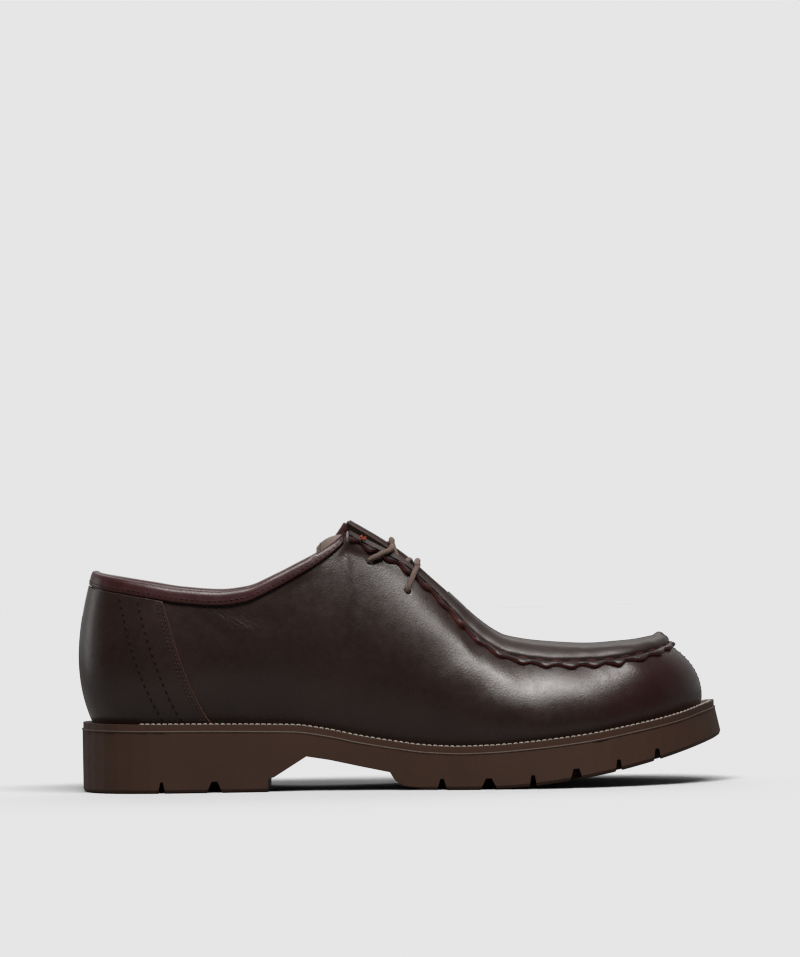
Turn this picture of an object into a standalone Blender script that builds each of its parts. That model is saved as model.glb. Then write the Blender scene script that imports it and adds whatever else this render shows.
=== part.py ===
"""Apron toe derby, right shoe, in metres.

The toe points to +X, the inner side of the foot to +Y, and the floor is z = 0.
A place round the shoe is a turn: 0 at the back of the heel, 1 or -1 at the tip of the
toe, positive on the inner side and negative on the outer side. A height on the upper's
side is a share from 0 at the feather line, where the upper meets the welt, to 1 at the
topline, which is the collar, the facings' edges and the ridge of the apron in turn.
"""
import functools
import math

import bpy
import numpy as np

# Sole
SOLE_LENGTH = 0.300
SOLE_WIDTH = 0.112
HEEL_SEAT = 0.0323
BALL_SEAT = 0.0198
TOE_LIFT = 0.0197
TOE_SPRING = 0.0217
SPRING_START = 0.615
SPRING_CURVE = 1.85
SIDE_FLARE = 0.0025
TREAD_ROUND = 0.0016
TREAD_BEND = 0.3
GROOVE_HEIGHT = 0.0052
GROOVE_DEPTH = 0.014
CUT_MARGIN = 0.010

# Welt and insole
WELT_THICK = 0.0031
WELT_WIDTH = 0.014
WELT_STEP = 0.0004
WELT_MARGIN = 0.0063
INSOLE_THICK = 0.0025

# Upper
INSTEP_RISE = 0.094
MEDIAL_RISE = 0.0045
WALL = 0.0020
COLLAR_LEAN = 0.0005
APRON_SETBACK = 0.0190
COLLAR_BEND = 0.345
CORNER = 0.450
THROAT = 0.617
VAMP = 0.760
PLUG_CROWN = 0.0010
EYELET_RADIUS = 0.0017
EYELET_CUT = 0.006

# Overlays and trims
GAP = 0.0003
COUNTER_GAP = 0.0005
COUNTER_THICK = 0.0010
BINDING_THICK = 0.0010
BINDING_WIDTH = 0.0051
BINDING_WIDTH_FRONT = 0.0036
BINDING_INSIDE = 0.0055
BINDING_GAP = 0.0005
CREST_SLACK = 0.0010
BINDING_STOP = 0.0042
BINDING_TAPER = 6
APRON_START = 0.0012
APRON_THICK = 0.0013
APRON_REACH = 0.0140
SEAM_RAISE = 0.0013
STITCH_DIP = 0.0004
PINK_PITCH = 0.0107
PINK_DEPTH = 0.0009
PINK_SAMPLES = 4

# Tongue and lace
TONGUE_THICK = 0.0020
TONGUE_DEPTH = 0.0040
TONGUE_ARCH = 0.0085
TONGUE_BEND = 0.18
TONGUE_PAST = 0.06
TONGUE_REACH = 0.015
TONGUE_WIDER = 0.0010
TONGUE_TUCK = 0.0045
TONGUE_UNDER_PLUG = 0.014
TONGUE_FULL = 0.94
TONGUE_ROUND = 4
LACE_DIAMETER = 0.0024
UPPER_CROSSING = 0.524
LOWER_CROSSING = 0.568
UNDER_FACING = 0.0060
CROSSING_PATH = ((0.55, 0.30), (0.0, 0.62), (-0.62, 1.0))
LACE_RISE = ((1.0, 0.0), (0.72, 0.3), (0.42, 1.0), (0.16, 1.0))
LACE_SPANS = (0.0, 0.5)
LACE_CREST = ((0.94, 0.34), (0.42, 0.72))

# Facets
HEEL_STEPS = 13
COLLAR_STEPS = 8
FACING_STEPS = 7
VAMP_STEPS = 8
TOE_STEPS = 13
WALL_ROWS = 7
ROW_CROWDING = 1.3
PLUG_COLUMNS = 4
COUNTER_STEPS = 24
COUNTER_ROWS = 7
TONGUE_STEPS = 14
TONGUE_COLUMNS = 6
LACE_SIDES = 6
EYELET_SIDES = 12
FINE_STEPS = 400
THROAT_STEPS = 20
REACH_FLOOR = 0.3
REACH_SAMPLES = 29
SHARP_ANGLE = math.radians(40)

UP = np.array((0.0, 0.0, 1.0))
STEP = 0.002


class Table:
    """Rows of shares under named columns, read smoothly along the first column."""

    def __init__(self, columns, *rows):
        self.columns = columns.split()
        self.rows = np.array(rows, float)
        self.places = np.array([turn_at(row[0]) for row in rows])

    def at(self, column, along):
        places = self.places
        values = self.rows[:, self.columns.index(column)]
        place = min(max(turn_at(along), places[0]), places[-1])
        i = min(int(np.searchsorted(places, place, side="right")) - 1, len(places) - 2)
        gaps = np.diff(places)
        grades = np.diff(values) / gaps
        width = gaps[i]
        share = (place - places[i]) / width
        start = knot_slope(grades, gaps, i) * width
        end = knot_slope(grades, gaps, i + 1) * width
        return float(
            values[i] * (1 + 2 * share) * (1 - share) ** 2
            + start * share * (1 - share) ** 2
            + values[i + 1] * share**2 * (3 - 2 * share)
            + end * share**2 * (share - 1)
        )


def knot_slope(grades, gaps, i):
    """Slope at a row: the one that keeps a rise or a fall free of waves."""
    if i == 0:
        return grades[0]
    if i == len(grades):
        return grades[-1]
    before, after = grades[i - 1], grades[i]
    if before * after <= 0:
        return 0.0
    weight_a = 2 * gaps[i] + gaps[i - 1]
    weight_b = gaps[i] + 2 * gaps[i - 1]
    return (weight_a + weight_b) / (weight_a / before + weight_b / after)


def turn_at(along):
    """Turn at a share of the length, which rounds both ends of an outline."""
    return math.acos(1 - 2 * min(max(along, 0.0), 1.0)) / math.pi


def along_at(turn):
    """Share of the length at a turn."""
    return (1 - math.cos(math.pi * turn)) / 2


# Sole's edge in plan: centre and half width, in shares of SOLE_WIDTH
OUTLINE = Table(
    "along centre half",
    (0.00, 0.014, 0.000),
    (0.02, 0.014, 0.182),
    (0.06, 0.014, 0.284),
    (0.13, 0.013, 0.335),
    (0.24, 0.009, 0.341),
    (0.36, -0.018, 0.320),
    (0.45, -0.034, 0.330),
    (0.55, -0.034, 0.386),
    (0.64, -0.026, 0.452),
    (0.72, -0.011, 0.493),
    (0.79, 0.009, 0.497),
    (0.86, 0.032, 0.451),
    (0.92, 0.044, 0.367),
    (0.965, 0.054, 0.246),
    (0.99, 0.060, 0.131),
    (1.00, 0.064, 0.000),
)

# Welt's top: share of the heel's extra height, and share of the toe's lift
SEAT = Table(
    "along heel toe",
    (0.00, 1.030, 0.000),
    (0.07, 0.985, 0.000),
    (0.33, 0.879, 0.000),
    (0.383, 0.705, 0.000),
    (0.433, 0.447, 0.000),
    (0.487, 0.220, 0.000),
    (0.54, 0.053, 0.000),
    (0.59, 0.000, 0.000),
    (0.643, 0.000, 0.025),
    (0.687, 0.000, 0.076),
    (0.78, 0.000, 0.228),
    (0.857, 0.000, 0.426),
    (0.937, 0.000, 0.680),
    (0.97, 0.000, 0.832),
    (1.00, 0.000, 1.000),
)

# How far the tread's edge stands out past the welt, as a share of SIDE_FLARE
FLARE = Table("along share", (0.0, 0.0), (0.45, 0.15), (0.75, 0.5), (1.0, 1.0))

# Topline in plan: centre and half width, in shares of SOLE_WIDTH
TOPLINE = Table(
    "along centre half",
    (0.00, 0.014, 0.000),
    (0.02, 0.014, 0.138),
    (0.06, 0.014, 0.212),
    (0.13, 0.012, 0.262),
    (0.22, 0.008, 0.284),
    (0.30, 0.006, 0.278),
    (0.37, 0.008, 0.248),
    (0.450, 0.012, 0.190),
    (0.549, 0.016, 0.172),
    (0.636, 0.018, 0.182),
    (0.706, 0.018, 0.210),
    (0.813, 0.026, 0.258),
    (0.903, 0.040, 0.262),
    (0.965, 0.050, 0.202),
    (0.990, 0.056, 0.120),
    (1.00, 0.060, 0.000),
)

# Height of the collar, then of the facings and the apron's ridge, above the welt's
# top, in shares of INSTEP_RISE
COLLAR = Table(
    "along rise",
    (0.00, 0.739),
    (0.045, 0.706),
    (0.10, 0.679),
    (0.155, 0.653),
    (0.222, 0.640),
    (0.266, 0.655),
    (0.321, 0.721),
    (0.368, 0.794),
    (0.398, 0.853),
    (0.438, 0.954),
    (0.450, 1.003),
)
RIDGE = Table(
    "along rise",
    (0.450, 1.003),
    (0.549, 0.894),
    (0.599, 0.791),
    (0.636, 0.697),
    (0.670, 0.600),
    (0.706, 0.520),
    (0.723, 0.493),
    (0.813, 0.428),
    (0.903, 0.385),
    (0.965, 0.370),
    (1.00, 0.378),
)

# Share of MEDIAL_RISE by which the inner side stands higher
INNER = Table("along share", (0.0, 0.0), (0.405, 0.0), (0.45, 1.0), (0.61, 0.1), (0.7, 0.0), (1.0, 0.0))

# Side's swell: outward pull of its lower and upper half in shares of SOLE_WIDTH, and how
# far below the topline the upper pull acts, as a share of the side's height
SWELL = Table(
    "along low high drop",
    (0.00, 0.090, 0.056, 0.34),
    (0.10, 0.082, 0.045, 0.34),
    (0.22, 0.072, 0.030, 0.32),
    (0.35, 0.072, 0.045, 0.26),
    (0.450, 0.072, 0.085, 0.21),
    (0.55, 0.064, 0.125, 0.19),
    (0.65, 0.050, 0.140, 0.21),
    (0.80, 0.040, 0.132, 0.23),
    (0.92, 0.026, 0.140, 0.28),
    (1.00, 0.010, 0.150, 0.30),
)

# Apron's reach below the ridge, the flange below its stitches, and how full its seam
# is: shares of APRON_REACH, of the reach and of SEAM_RAISE
REACH = Table(
    "along reach flange full",
    (0.450, 0.286, 0.45, 0.0),
    (0.54, 0.329, 0.43, 0.0),
    (0.60, 0.471, 0.38, 0.2),
    (0.64, 0.743, 0.30, 0.6),
    (0.68, 0.929, 0.27, 0.9),
    (0.72, 1.000, 0.26, 1.0),
    (0.80, 0.986, 0.26, 1.0),
    (0.85, 0.871, 0.28, 1.0),
    (0.90, 0.764, 0.30, 1.0),
    (0.94, 0.657, 0.32, 1.0),
    (0.98, 0.543, 0.36, 1.0),
    (1.00, 0.471, 0.38, 1.0),
)

# Section of the apron's seam from the ridge to the stitches: share of that height, and
# share of the full lift
SEAM = ((0.45, 1.0), (0.0, 0.8))

# Arch under the waist, heel breast first: share of the length, and height as a share of
# the welt's height over the ball
ARCH = (
    (0.2913, 0.000),
    (0.2922, 0.320),
    (0.3005, 0.345),
    (0.3515, 0.825),
    (0.3880, 0.735),
    (0.4400, 0.560),
    (0.4810, 0.430),
    (0.4885, 0.240),
    (0.5010, 0.110),
    (0.5300, 0.040),
    (0.5650, 0.000),
)

# Grooves in the side of the tread: place, width at the floor and width at the top
GROOVES = (
    (0.1266, 0.0033, 0.0014),
    (0.2087, 0.0072, 0.0028),
    (0.5610, 0.0047, 0.0016),
    (0.6330, 0.0078, 0.0026),
    (0.7010, 0.0033, 0.0017),
    (0.7680, 0.0058, 0.0028),
    (0.8340, 0.0031, 0.0017),
    (0.8947, 0.0034, 0.0018),
)

# Eyelets: share along the topline, and distance below it
EYELETS = ((0.490, 0.0095), (0.555, 0.0150))

# Cut edge of the heel counter: place along the feather line and along the collar, how
# it sweeps between them, and the share of the side's height at which it starts
COUNTER_FOOT = 0.206
COUNTER_TOP = 0.125
COUNTER_SWEEP = 0.8
COUNTER_START = 0.004

# Section of the collar binding: shares of its width outside, of its depth inside, and
# how much of its thickness the crest keeps at its sides
BINDING_LEGS = (1.0, 0.5, 0.12)
BINDING_INNER_LEGS = (0.11, 0.9)
BINDING_ROUND = 0.55


@functools.cache
def edge_in_plan(turn):
    """Outermost point of the sole at a turn, which may run past the toe."""
    if abs(turn) > 1:
        turn = turn - math.copysign(2, turn)
    along = along_at(abs(turn))
    centre = OUTLINE.at("centre", along)
    half = OUTLINE.at("half", along)
    return np.array(
        (
            SOLE_LENGTH * (along - 0.5),
            SOLE_WIDTH * (centre + math.copysign(half, turn)),
        )
    )


@functools.cache
def outward(turn):
    """Level direction that points away from the shoe."""
    run = edge_in_plan(turn + STEP) - edge_in_plan(turn - STEP)
    run /= np.linalg.norm(run)
    return np.array((-run[1], run[0], 0.0))


def flare(turn):
    return SIDE_FLARE * FLARE.at("share", along_at(abs(turn)))


def outline(turn, inset, height):
    """Point of the sole's edge, moved inward, at a height worked out from its place."""
    x, y = edge_in_plan(turn)
    point = np.array((x, y, 0.0)) - outward(turn) * inset
    point[2] = height(point[0])
    return point


def along_of(x):
    """Share of the length at a place."""
    return min(max(x / SOLE_LENGTH + 0.5, 0.0), 1.0)


def seat_height(x):
    """Top of the welt."""
    along = along_of(x)
    heel = (HEEL_SEAT - BALL_SEAT) * SEAT.at("heel", along)
    return BALL_SEAT + heel + TOE_LIFT * SEAT.at("toe", along)


def tread_height(x):
    """Underside of the sole without its arch."""
    past = max(0.0, (along_of(x) - SPRING_START) / (1 - SPRING_START))
    return TOE_SPRING * past**SPRING_CURVE


@functools.cache
def feather(turn):
    """Outer foot of the upper's wall."""
    inset = WELT_MARGIN + flare(turn)
    return outline(turn, inset, seat_height) + UP * GAP


@functools.cache
def topline(turn):
    """Top of the upper's wall: collar, facing edge or apron ridge."""
    along = along_at(abs(turn))
    back = feather(0.0)[0] + COLLAR_LEAN
    front = feather(1.0)[0] - APRON_SETBACK
    x = back + (front - back) * along
    half = math.copysign(TOPLINE.at("half", along), turn)
    y = SOLE_WIDTH * (TOPLINE.at("centre", along) + half)
    rise = (COLLAR if along < CORNER else RIDGE).at("rise", along) * INSTEP_RISE
    if turn > 0:
        rise += MEDIAL_RISE * INNER.at("share", along)
    return np.array((x, y, seat_height(x) + rise))


@functools.cache
def wall(turn, share):
    """Outer face of the upper's side."""
    if abs(turn) > 1:
        turn = turn - math.copysign(2, turn)
    along = along_at(abs(turn))
    foot = feather(turn)
    top = topline(turn)
    height = top[2] - foot[2]
    out = outward(turn) * SOLE_WIDTH
    low = foot + out * SWELL.at("low", along) + UP * height / 3
    high = top + out * SWELL.at("high", along) - UP * height * SWELL.at("drop", along)
    rest = 1 - share
    return (
        foot * rest**3
        + low * 3 * rest**2 * share
        + high * 3 * rest * share**2
        + top * share**3
    )


def wall_frame(turn, share):
    """Point on the side, the way out of the leather, and the way up along it."""
    round_it = wall(turn + STEP, share) - wall(turn - STEP, share)
    below = max(share - STEP, 0.0)
    above = min(share + STEP, 1.0)
    rising = wall(turn, above) - wall(turn, below)
    out = np.cross(rising, round_it)
    return wall(turn, share), out / np.linalg.norm(out), rising / np.linalg.norm(rising)


def share_below(turn, distance):
    """Share of the side's height that lies a distance below the topline."""
    shares = np.linspace(1.0, REACH_FLOOR, REACH_SAMPLES)
    points = np.array([wall(turn, share) for share in shares])
    lengths = np.concatenate(([0.0], np.cumsum(np.linalg.norm(np.diff(points, axis=0), axis=1))))
    return float(np.interp(distance, lengths, shares))


def plug(turn, across):
    """Top of the forepart, from the outer ridge at 0 to the inner ridge at 1."""
    outer, inner = topline(-turn), topline(turn)
    return outer + (inner - outer) * across + UP * PLUG_CROWN * 4 * across * (1 - across)


class Sheet:
    """Points and faces of a surface, before it gets its thickness."""

    def __init__(self):
        self.points = []
        self.lifts = []
        self.faces = []

    def add(self, point, lift=0.0):
        self.points.append(point)
        self.lifts.append(lift)
        return len(self.points) - 1

    def strip(self, first, second):
        """Faces between two rows of points; equal points close to triangles."""
        for a, b, c, d in zip(first, first[1:], second[1:], second):
            corners = list(dict.fromkeys((a, b, c, d)))
            if len(corners) > 2:
                self.faces.append(tuple(corners))

    def normals(self):
        points = np.array(self.points)
        normals = np.zeros_like(points)
        for face in self.faces:
            across = points[face[2 % len(face)]] - points[face[0]]
            along = points[face[-1]] - points[face[1]]
            normal = np.cross(across, along)
            normals[list(face)] += normal
        return normals / np.linalg.norm(normals, axis=1)[:, None]

    def body(self, inner, outer):
        """Closed body between the sheet moved by inner and moved by outer plus its lifts."""
        points = np.array(self.points)
        normals = self.normals()
        lifts = np.array(self.lifts)[:, None]
        count = len(points)
        corners = np.concatenate((points + normals * (outer + lifts), points + normals * inner))
        faces = list(self.faces)
        faces += [tuple(i + count for i in reversed(face)) for face in self.faces]
        sides = set()
        for face in self.faces:
            sides.update(zip(face, face[1:] + face[:1]))
        for a, b in sorted(sides):
            if (b, a) not in sides:
                faces.append((b, a, a + count, b + count))
        return corners, faces


def make(name, corners, faces, material):
    """Object from points and faces, smooth except along its sharp edges."""
    mesh = bpy.data.meshes.new(name)
    mesh.from_pydata([tuple(corner) for corner in corners], [], faces)
    mesh.validate()
    mesh.shade_smooth()
    mesh.set_sharp_from_angle(angle=SHARP_ANGLE)
    mesh.materials.append(material)
    shape = bpy.data.objects.new(name, mesh)
    bpy.context.scene.collection.objects.link(shape)
    return shape


def finish(name, colour, roughness):
    material = bpy.data.materials.new(name)
    material.use_nodes = True
    shader = material.node_tree.nodes["Principled BSDF"]
    shader.inputs["Base Color"].default_value = (*colour, 1.0)
    shader.inputs["Roughness"].default_value = roughness
    shader.inputs["Metallic"].default_value = 0.0
    return material


def cut(shape, cutters, operation="DIFFERENCE"):
    """Take the cutters out of a shape, or join them to it."""
    for cutter in cutters:
        cutter.hide_render = True
        cutter.display_type = "WIRE"
        modifier = shape.modifiers.new("cut " + cutter.name, "BOOLEAN")
        modifier.operation = operation
        modifier.solver = "EXACT"
        modifier.object = cutter


def turns_between(first, last, count):
    return [first + (last - first) * i / count for i in range(count + 1)]


@functools.cache
def half_turns():
    """Turns from heel to toe, with one at each end of the binding and of the facing."""
    collar, corner = turn_at(COLLAR_BEND), turn_at(CORNER)
    throat, vamp = turn_at(THROAT), turn_at(VAMP)
    heel = turns_between(0.0, collar, HEEL_STEPS)
    front = turns_between(collar, corner - BINDING_STOP, COLLAR_STEPS)
    facing = turns_between(corner, throat, FACING_STEPS)
    bend = turns_between(throat, vamp, VAMP_STEPS)
    toe = turns_between(vamp, 1.0, TOE_STEPS)
    return heel[:-1] + front + facing[:-1] + bend[:-1] + toe


def ring_turns():
    """Turns all the way round: heel, outer side, toe, inner side."""
    half = half_turns()
    return [-turn for turn in half] + half[-2:0:-1]


def loft(rings):
    """Closed body through rings of points, lowest first, with ladders across both ends."""
    count = len(rings[0])
    corners = np.concatenate(rings)
    faces = []
    for level in range(len(rings) - 1):
        low, high = level * count, (level + 1) * count
        for i in range(count):
            j = (i + 1) % count
            faces.append((low + i, low + j, high + j, high + i))
    half = count // 2
    top = (len(rings) - 1) * count
    for base, order in ((0, -1), (top, 1)):
        for i in range(half):
            rung = dict.fromkeys((i, i + 1, (count - i - 1) % count, (count - i) % count))
            face = tuple(base + k for k in rung)
            faces.append(face[::order])
    return corners, faces


def ring(inset, height):
    """Points of the outline moved inward, at heights worked out from their place."""
    return np.array([outline(turn, inset(turn), height) for turn in ring_turns()])


def prism(profile, low_y, high_y):
    """Bar with a profile in x and z, from one y to another."""
    count = len(profile)
    corners = [(x, low_y, z) for x, z in profile] + [(x, high_y, z) for x, z in profile]
    faces = [tuple(range(count)), tuple(reversed(range(count, 2 * count)))]
    for i in range(count):
        j = (i + 1) % count
        faces.append((j, i, i + count, j + count))
    return corners, faces


def joined(parts):
    """Points and faces of several bodies in one list."""
    corners, faces = [], []
    for part_corners, part_faces in parts:
        start = len(corners)
        corners += [tuple(corner) for corner in part_corners]
        faces += [tuple(start + i for i in face) for face in part_faces]
    return corners, faces


def arch_bar():
    """Bar as wide as the sole, in the shape of the hollow under the waist."""
    roof = [(SOLE_LENGTH * (along - 0.5), BALL_SEAT * rise) for along, rise in ARCH]
    below = [(roof[-1][0], -CUT_MARGIN), (roof[0][0], -CUT_MARGIN)]
    return prism(list(reversed(roof + below)), -SOLE_WIDTH, SOLE_WIDTH)


def groove_bars():
    """Wedges that part the lugs of each side."""
    margin = CUT_MARGIN
    parts = []
    for along, wide, narrow in GROOVES:
        x = SOLE_LENGTH * (along - 0.5)
        top = tread_height(x) + GROOVE_HEIGHT
        slope = (wide - narrow) / 2 / GROOVE_HEIGHT
        low = tread_height(x) - margin
        wide_low = wide + 2 * slope * margin
        profile = [
            (x + wide_low / 2, low),
            (x + narrow / 2, top),
            (x - narrow / 2, top),
            (x - wide_low / 2, low),
        ]
        for side in (-1, 1):
            edge = edge_in_plan(side * turn_at(along))[1]
            inner, outer = edge - side * GROOVE_DEPTH, edge + side * margin
            parts.append(prism(profile, min(inner, outer), max(inner, outer)))
    return joined(parts)


def build_outsole(rubber, guide):
    rim = lambda turn: flare(turn)
    below_welt = lambda x: seat_height(x) - WELT_THICK - GAP
    inside = lambda turn: flare(turn) + WELT_STEP + WELT_WIDTH + GAP
    rings = [
        ring(lambda turn: TREAD_ROUND, tread_height),
        ring(lambda turn: TREAD_ROUND * TREAD_BEND, lambda x: tread_height(x) + TREAD_ROUND * TREAD_BEND),
        ring(lambda turn: 0.0, lambda x: tread_height(x) + TREAD_ROUND),
        ring(rim, below_welt),
        ring(inside, below_welt),
        ring(inside, lambda x: seat_height(x) - GAP),
    ]
    outsole = make("outsole", *loft(rings), rubber)
    arch = make("arch_cutter", *arch_bar(), guide)
    grooves = make("groove_cutter", *groove_bars(), guide)
    cut(outsole, [arch, grooves])


def build_welt(rubber):
    outer = lambda turn: flare(turn) + WELT_STEP
    inner = lambda turn: flare(turn) + WELT_STEP + WELT_WIDTH
    bottom = lambda x: seat_height(x) - WELT_THICK
    rings = [ring(outer, bottom), ring(outer, seat_height), ring(inner, seat_height), ring(inner, bottom)]
    count = len(rings[0])
    faces = []
    for level in range(4):
        low, high = level * count, (level + 1) % 4 * count
        for i in range(count):
            j = (i + 1) % count
            faces.append((low + i, low + j, high + j, high + i))
    make("welt", np.concatenate(rings), faces, rubber)


def build_insole(leather):
    inset = lambda turn: flare(turn) + WELT_MARGIN + WALL + 3 * GAP
    low = ring(inset, lambda x: seat_height(x) + GAP)
    high = ring(inset, lambda x: seat_height(x) + GAP + INSOLE_THICK)
    make("insole", *loft([low, high]), leather)


def upper_sheet():
    """Sides as a closed ring of columns, and the plug between the two ridges."""
    sheet = Sheet()
    turns = ring_turns()
    columns = []
    for turn in turns:
        shares = [1 - (1 - row / WALL_ROWS) ** ROW_CROWDING for row in range(WALL_ROWS + 1)]
        columns.append([sheet.add(wall(turn, share)) for share in shares])
    for first, second in zip(columns, columns[1:] + columns[:1]):
        sheet.strip(second, first)
    toe = len(half_turns()) - 1
    throat = half_turns().index(turn_at(THROAT))
    rows = []
    for i in range(throat, toe):
        middle = [
            sheet.add(plug(abs(turns[i]), column / PLUG_COLUMNS)) for column in range(1, PLUG_COLUMNS)
        ]
        rows.append([columns[i][-1]] + middle + [columns[2 * toe - i][-1]])
    rows.append([columns[toe][-1]] * (PLUG_COLUMNS + 1))
    for first, second in zip(rows, rows[1:]):
        sheet.strip(second, first)
    return sheet


def eyelet_cutter(turn, distance):
    """Round bar through the leather at an eyelet."""
    sides = EYELET_SIDES
    point, out, up = wall_frame(turn, share_below(turn, distance))
    right = np.cross(up, out)
    rings = []
    for end in (-EYELET_CUT, EYELET_CUT):
        for i in range(sides):
            angle = 2 * math.pi * i / sides
            spoke = right * math.cos(angle) + up * math.sin(angle)
            rings.append(point + out * end + spoke * EYELET_RADIUS)
    faces = [tuple(reversed(range(sides))), tuple(range(sides, 2 * sides))]
    for i in range(sides):
        j = (i + 1) % sides
        faces.append((i, j, j + sides, i + sides))
    return rings, faces


def build_upper(leather, guide):
    sheet = upper_sheet()
    upper = make("upper", *sheet.body(-WALL, 0.0), leather)
    holes = [
        eyelet_cutter(side * turn_at(along), distance)
        for along, distance in EYELETS
        for side in (-1, 1)
    ]
    cutter = make("eyelet_cutter", *joined(holes), guide)
    cut(upper, [cutter])


def apron_turns():
    """Turns from the outer corner round the toe to the inner one, and their pink phases."""
    start = turn_at(CORNER) + APRON_START
    half = turns_between(start, 1.0, FINE_STEPS)
    points = np.array([topline(turn) for turn in half])
    lengths = np.concatenate(([0.0], np.cumsum(np.linalg.norm(np.diff(points, axis=0), axis=1))))
    count = round(lengths[-1] / PINK_PITCH) * PINK_SAMPLES
    places = np.linspace(0.0, lengths[-1], count + 1)
    half = list(np.interp(places, lengths, half))
    turns = [-turn for turn in half] + half[-2::-1]
    return turns, count


def build_apron(leather):
    sheet = Sheet()
    turns, toe = apron_turns()
    columns = []
    for i, turn in enumerate(turns):
        along = along_at(abs(turn))
        reach = REACH.at("reach", along) * APRON_REACH
        flange = REACH.at("flange", along) * reach
        full = REACH.at("full", along) * SEAM_RAISE
        pink = PINK_DEPTH * math.cos(2 * math.pi * i / PINK_SAMPLES)
        band = reach - flange
        rows = [(reach + pink, 0.0), (band + flange / 2, 0.0), (band, -STITCH_DIP)]
        rows += [(band * place, full * lift) for place, lift in SEAM]
        columns.append([sheet.add(wall(turn, share_below(turn, low)), lift) for low, lift in rows])
    for first, second in zip(columns, columns[1:]):
        sheet.strip(second, first)
    throat = min(range(toe), key=lambda i: abs(abs(turns[i]) - turn_at(THROAT))) + 1
    rows = []
    for i in range(throat, toe):
        outer, inner = columns[i][-1], columns[2 * toe - i][-1]
        middle = [
            sheet.add(plug(abs(turns[i]), column / PLUG_COLUMNS)) for column in range(1, PLUG_COLUMNS)
        ]
        rows.append([outer] + middle + [inner])
    rows.append([columns[toe][-1]] * (PLUG_COLUMNS + 1))
    for first, second in zip(rows, rows[1:]):
        sheet.strip(second, first)
    make("apron", *sheet.body(GAP, GAP + APRON_THICK), leather)


def build_counter(leather):
    """Overlay round the heel, between the welt and the collar binding."""
    sheet = Sheet()
    columns = []
    for i in range(COUNTER_STEPS + 1):
        side = 2 * i / COUNTER_STEPS - 1
        column = []
        for row in range(COUNTER_ROWS + 1):
            share = row / COUNTER_ROWS
            along = COUNTER_FOOT + (COUNTER_TOP - COUNTER_FOOT) * share**COUNTER_SWEEP
            turn = side * turn_at(along)
            top = share_below(turn, BINDING_WIDTH + 2 * GAP)
            column.append(sheet.add(wall(turn, COUNTER_START + (top - COUNTER_START) * share)))
        columns.append(column)
    for first, second in zip(columns, columns[1:]):
        sheet.strip(first, second)
    make("heel_counter", *sheet.body(COUNTER_GAP, COUNTER_GAP + COUNTER_THICK), leather)


def build_binding(leather):
    """Strip folded over the collar: outer leg, crest and inner leg."""
    half = [turn for turn in half_turns() if turn < turn_at(CORNER)]
    turns = [-turn for turn in half[:0:-1]] + half
    end = half[-1]
    points, faces = [], []
    for turn in turns:
        share = (abs(turn) / end) ** BINDING_TAPER
        width = BINDING_WIDTH + (BINDING_WIDTH_FRONT - BINDING_WIDTH) * share
        near, far = [], []
        for leg in BINDING_LEGS:
            point, out, up = wall_frame(turn, share_below(turn, width * leg))
            near.append(point + out * BINDING_GAP)
            far.append(point + out * (BINDING_GAP + BINDING_THICK))
        point, out, up = wall_frame(turn, 1.0)
        for base, lean in ((point, out), (point - out * WALL, -out)):
            near.append(base + lean * BINDING_GAP + up * CREST_SLACK)
            crest = lean * (BINDING_GAP + BINDING_THICK * BINDING_ROUND)
            far.append(base + crest + up * (CREST_SLACK + BINDING_THICK))
        for leg in BINDING_INNER_LEGS:
            point, out, up = wall_frame(turn, share_below(turn, BINDING_INSIDE * leg))
            near.append(point - out * (WALL + BINDING_GAP))
            far.append(point - out * (WALL + BINDING_GAP + BINDING_THICK))
        points += far + near[::-1]
    count = len(far) + len(near)
    steps = len(turns) - 1
    for i in range(steps):
        for k in range(count):
            a, b = i * count + k, i * count + (k + 1) % count
            faces.append((a, b, b + count, a + count))
    columns = len(far)
    for k in range(columns - 1):
        first = (k, count - 1 - k, count - 2 - k, k + 1)
        faces.append(first)
        faces.append(tuple(steps * count + corner for corner in reversed(first)))
    make("collar_binding", points, faces, leather)


@functools.cache
def throat_turns():
    """Places of the facing edges and of the turns that they belong to."""
    first, last = turn_at(CORNER), turn_at(THROAT + TONGUE_PAST)
    turns = turns_between(first, last, THROAT_STEPS)
    return [topline(turn)[0] for turn in turns], turns


def throat_at(x):
    """Middle between the two facing edges, half their distance, and their tilt."""
    places, turns = throat_turns()
    turn = float(np.interp(x, places, turns))
    outer, inner = topline(-turn), topline(turn)
    width = inner[1] - outer[1]
    return (outer + inner) / 2, width / 2, (inner[2] - outer[2]) / width


def tongue_top(x, share):
    """Top of the tongue, from its outer edge at -1 to its inner edge at 1."""
    middle, half, tilt = throat_at(x)
    start = throat_turns()[0][0]
    behind = max(0.0, start - x)
    tip = behind / TONGUE_REACH
    tuck = TONGUE_TUCK * min(max((start + TONGUE_TUCK * 2 - x) / (TONGUE_TUCK * 2), 0.0), 1.0)
    rounded = max(0.0, 1 - (TONGUE_FULL * tip) ** TONGUE_ROUND)
    half = (half + TONGUE_WIDER - tuck) * math.sqrt(rounded)
    z = middle[2] - TONGUE_DEPTH + tilt * half * share
    z -= TONGUE_ARCH * share**2 + TONGUE_BEND * behind * tip
    return np.array((x, middle[1] + half * share, z))


def on_tongue(x, share, lift):
    """Point above the tongue, square to its top."""
    ahead = tongue_top(x + STEP, share) - tongue_top(x - STEP, share)
    across = tongue_top(x, share + STEP) - tongue_top(x, share - STEP)
    out = np.cross(ahead, across)
    return tongue_top(x, share) + out / np.linalg.norm(out) * lift


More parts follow.
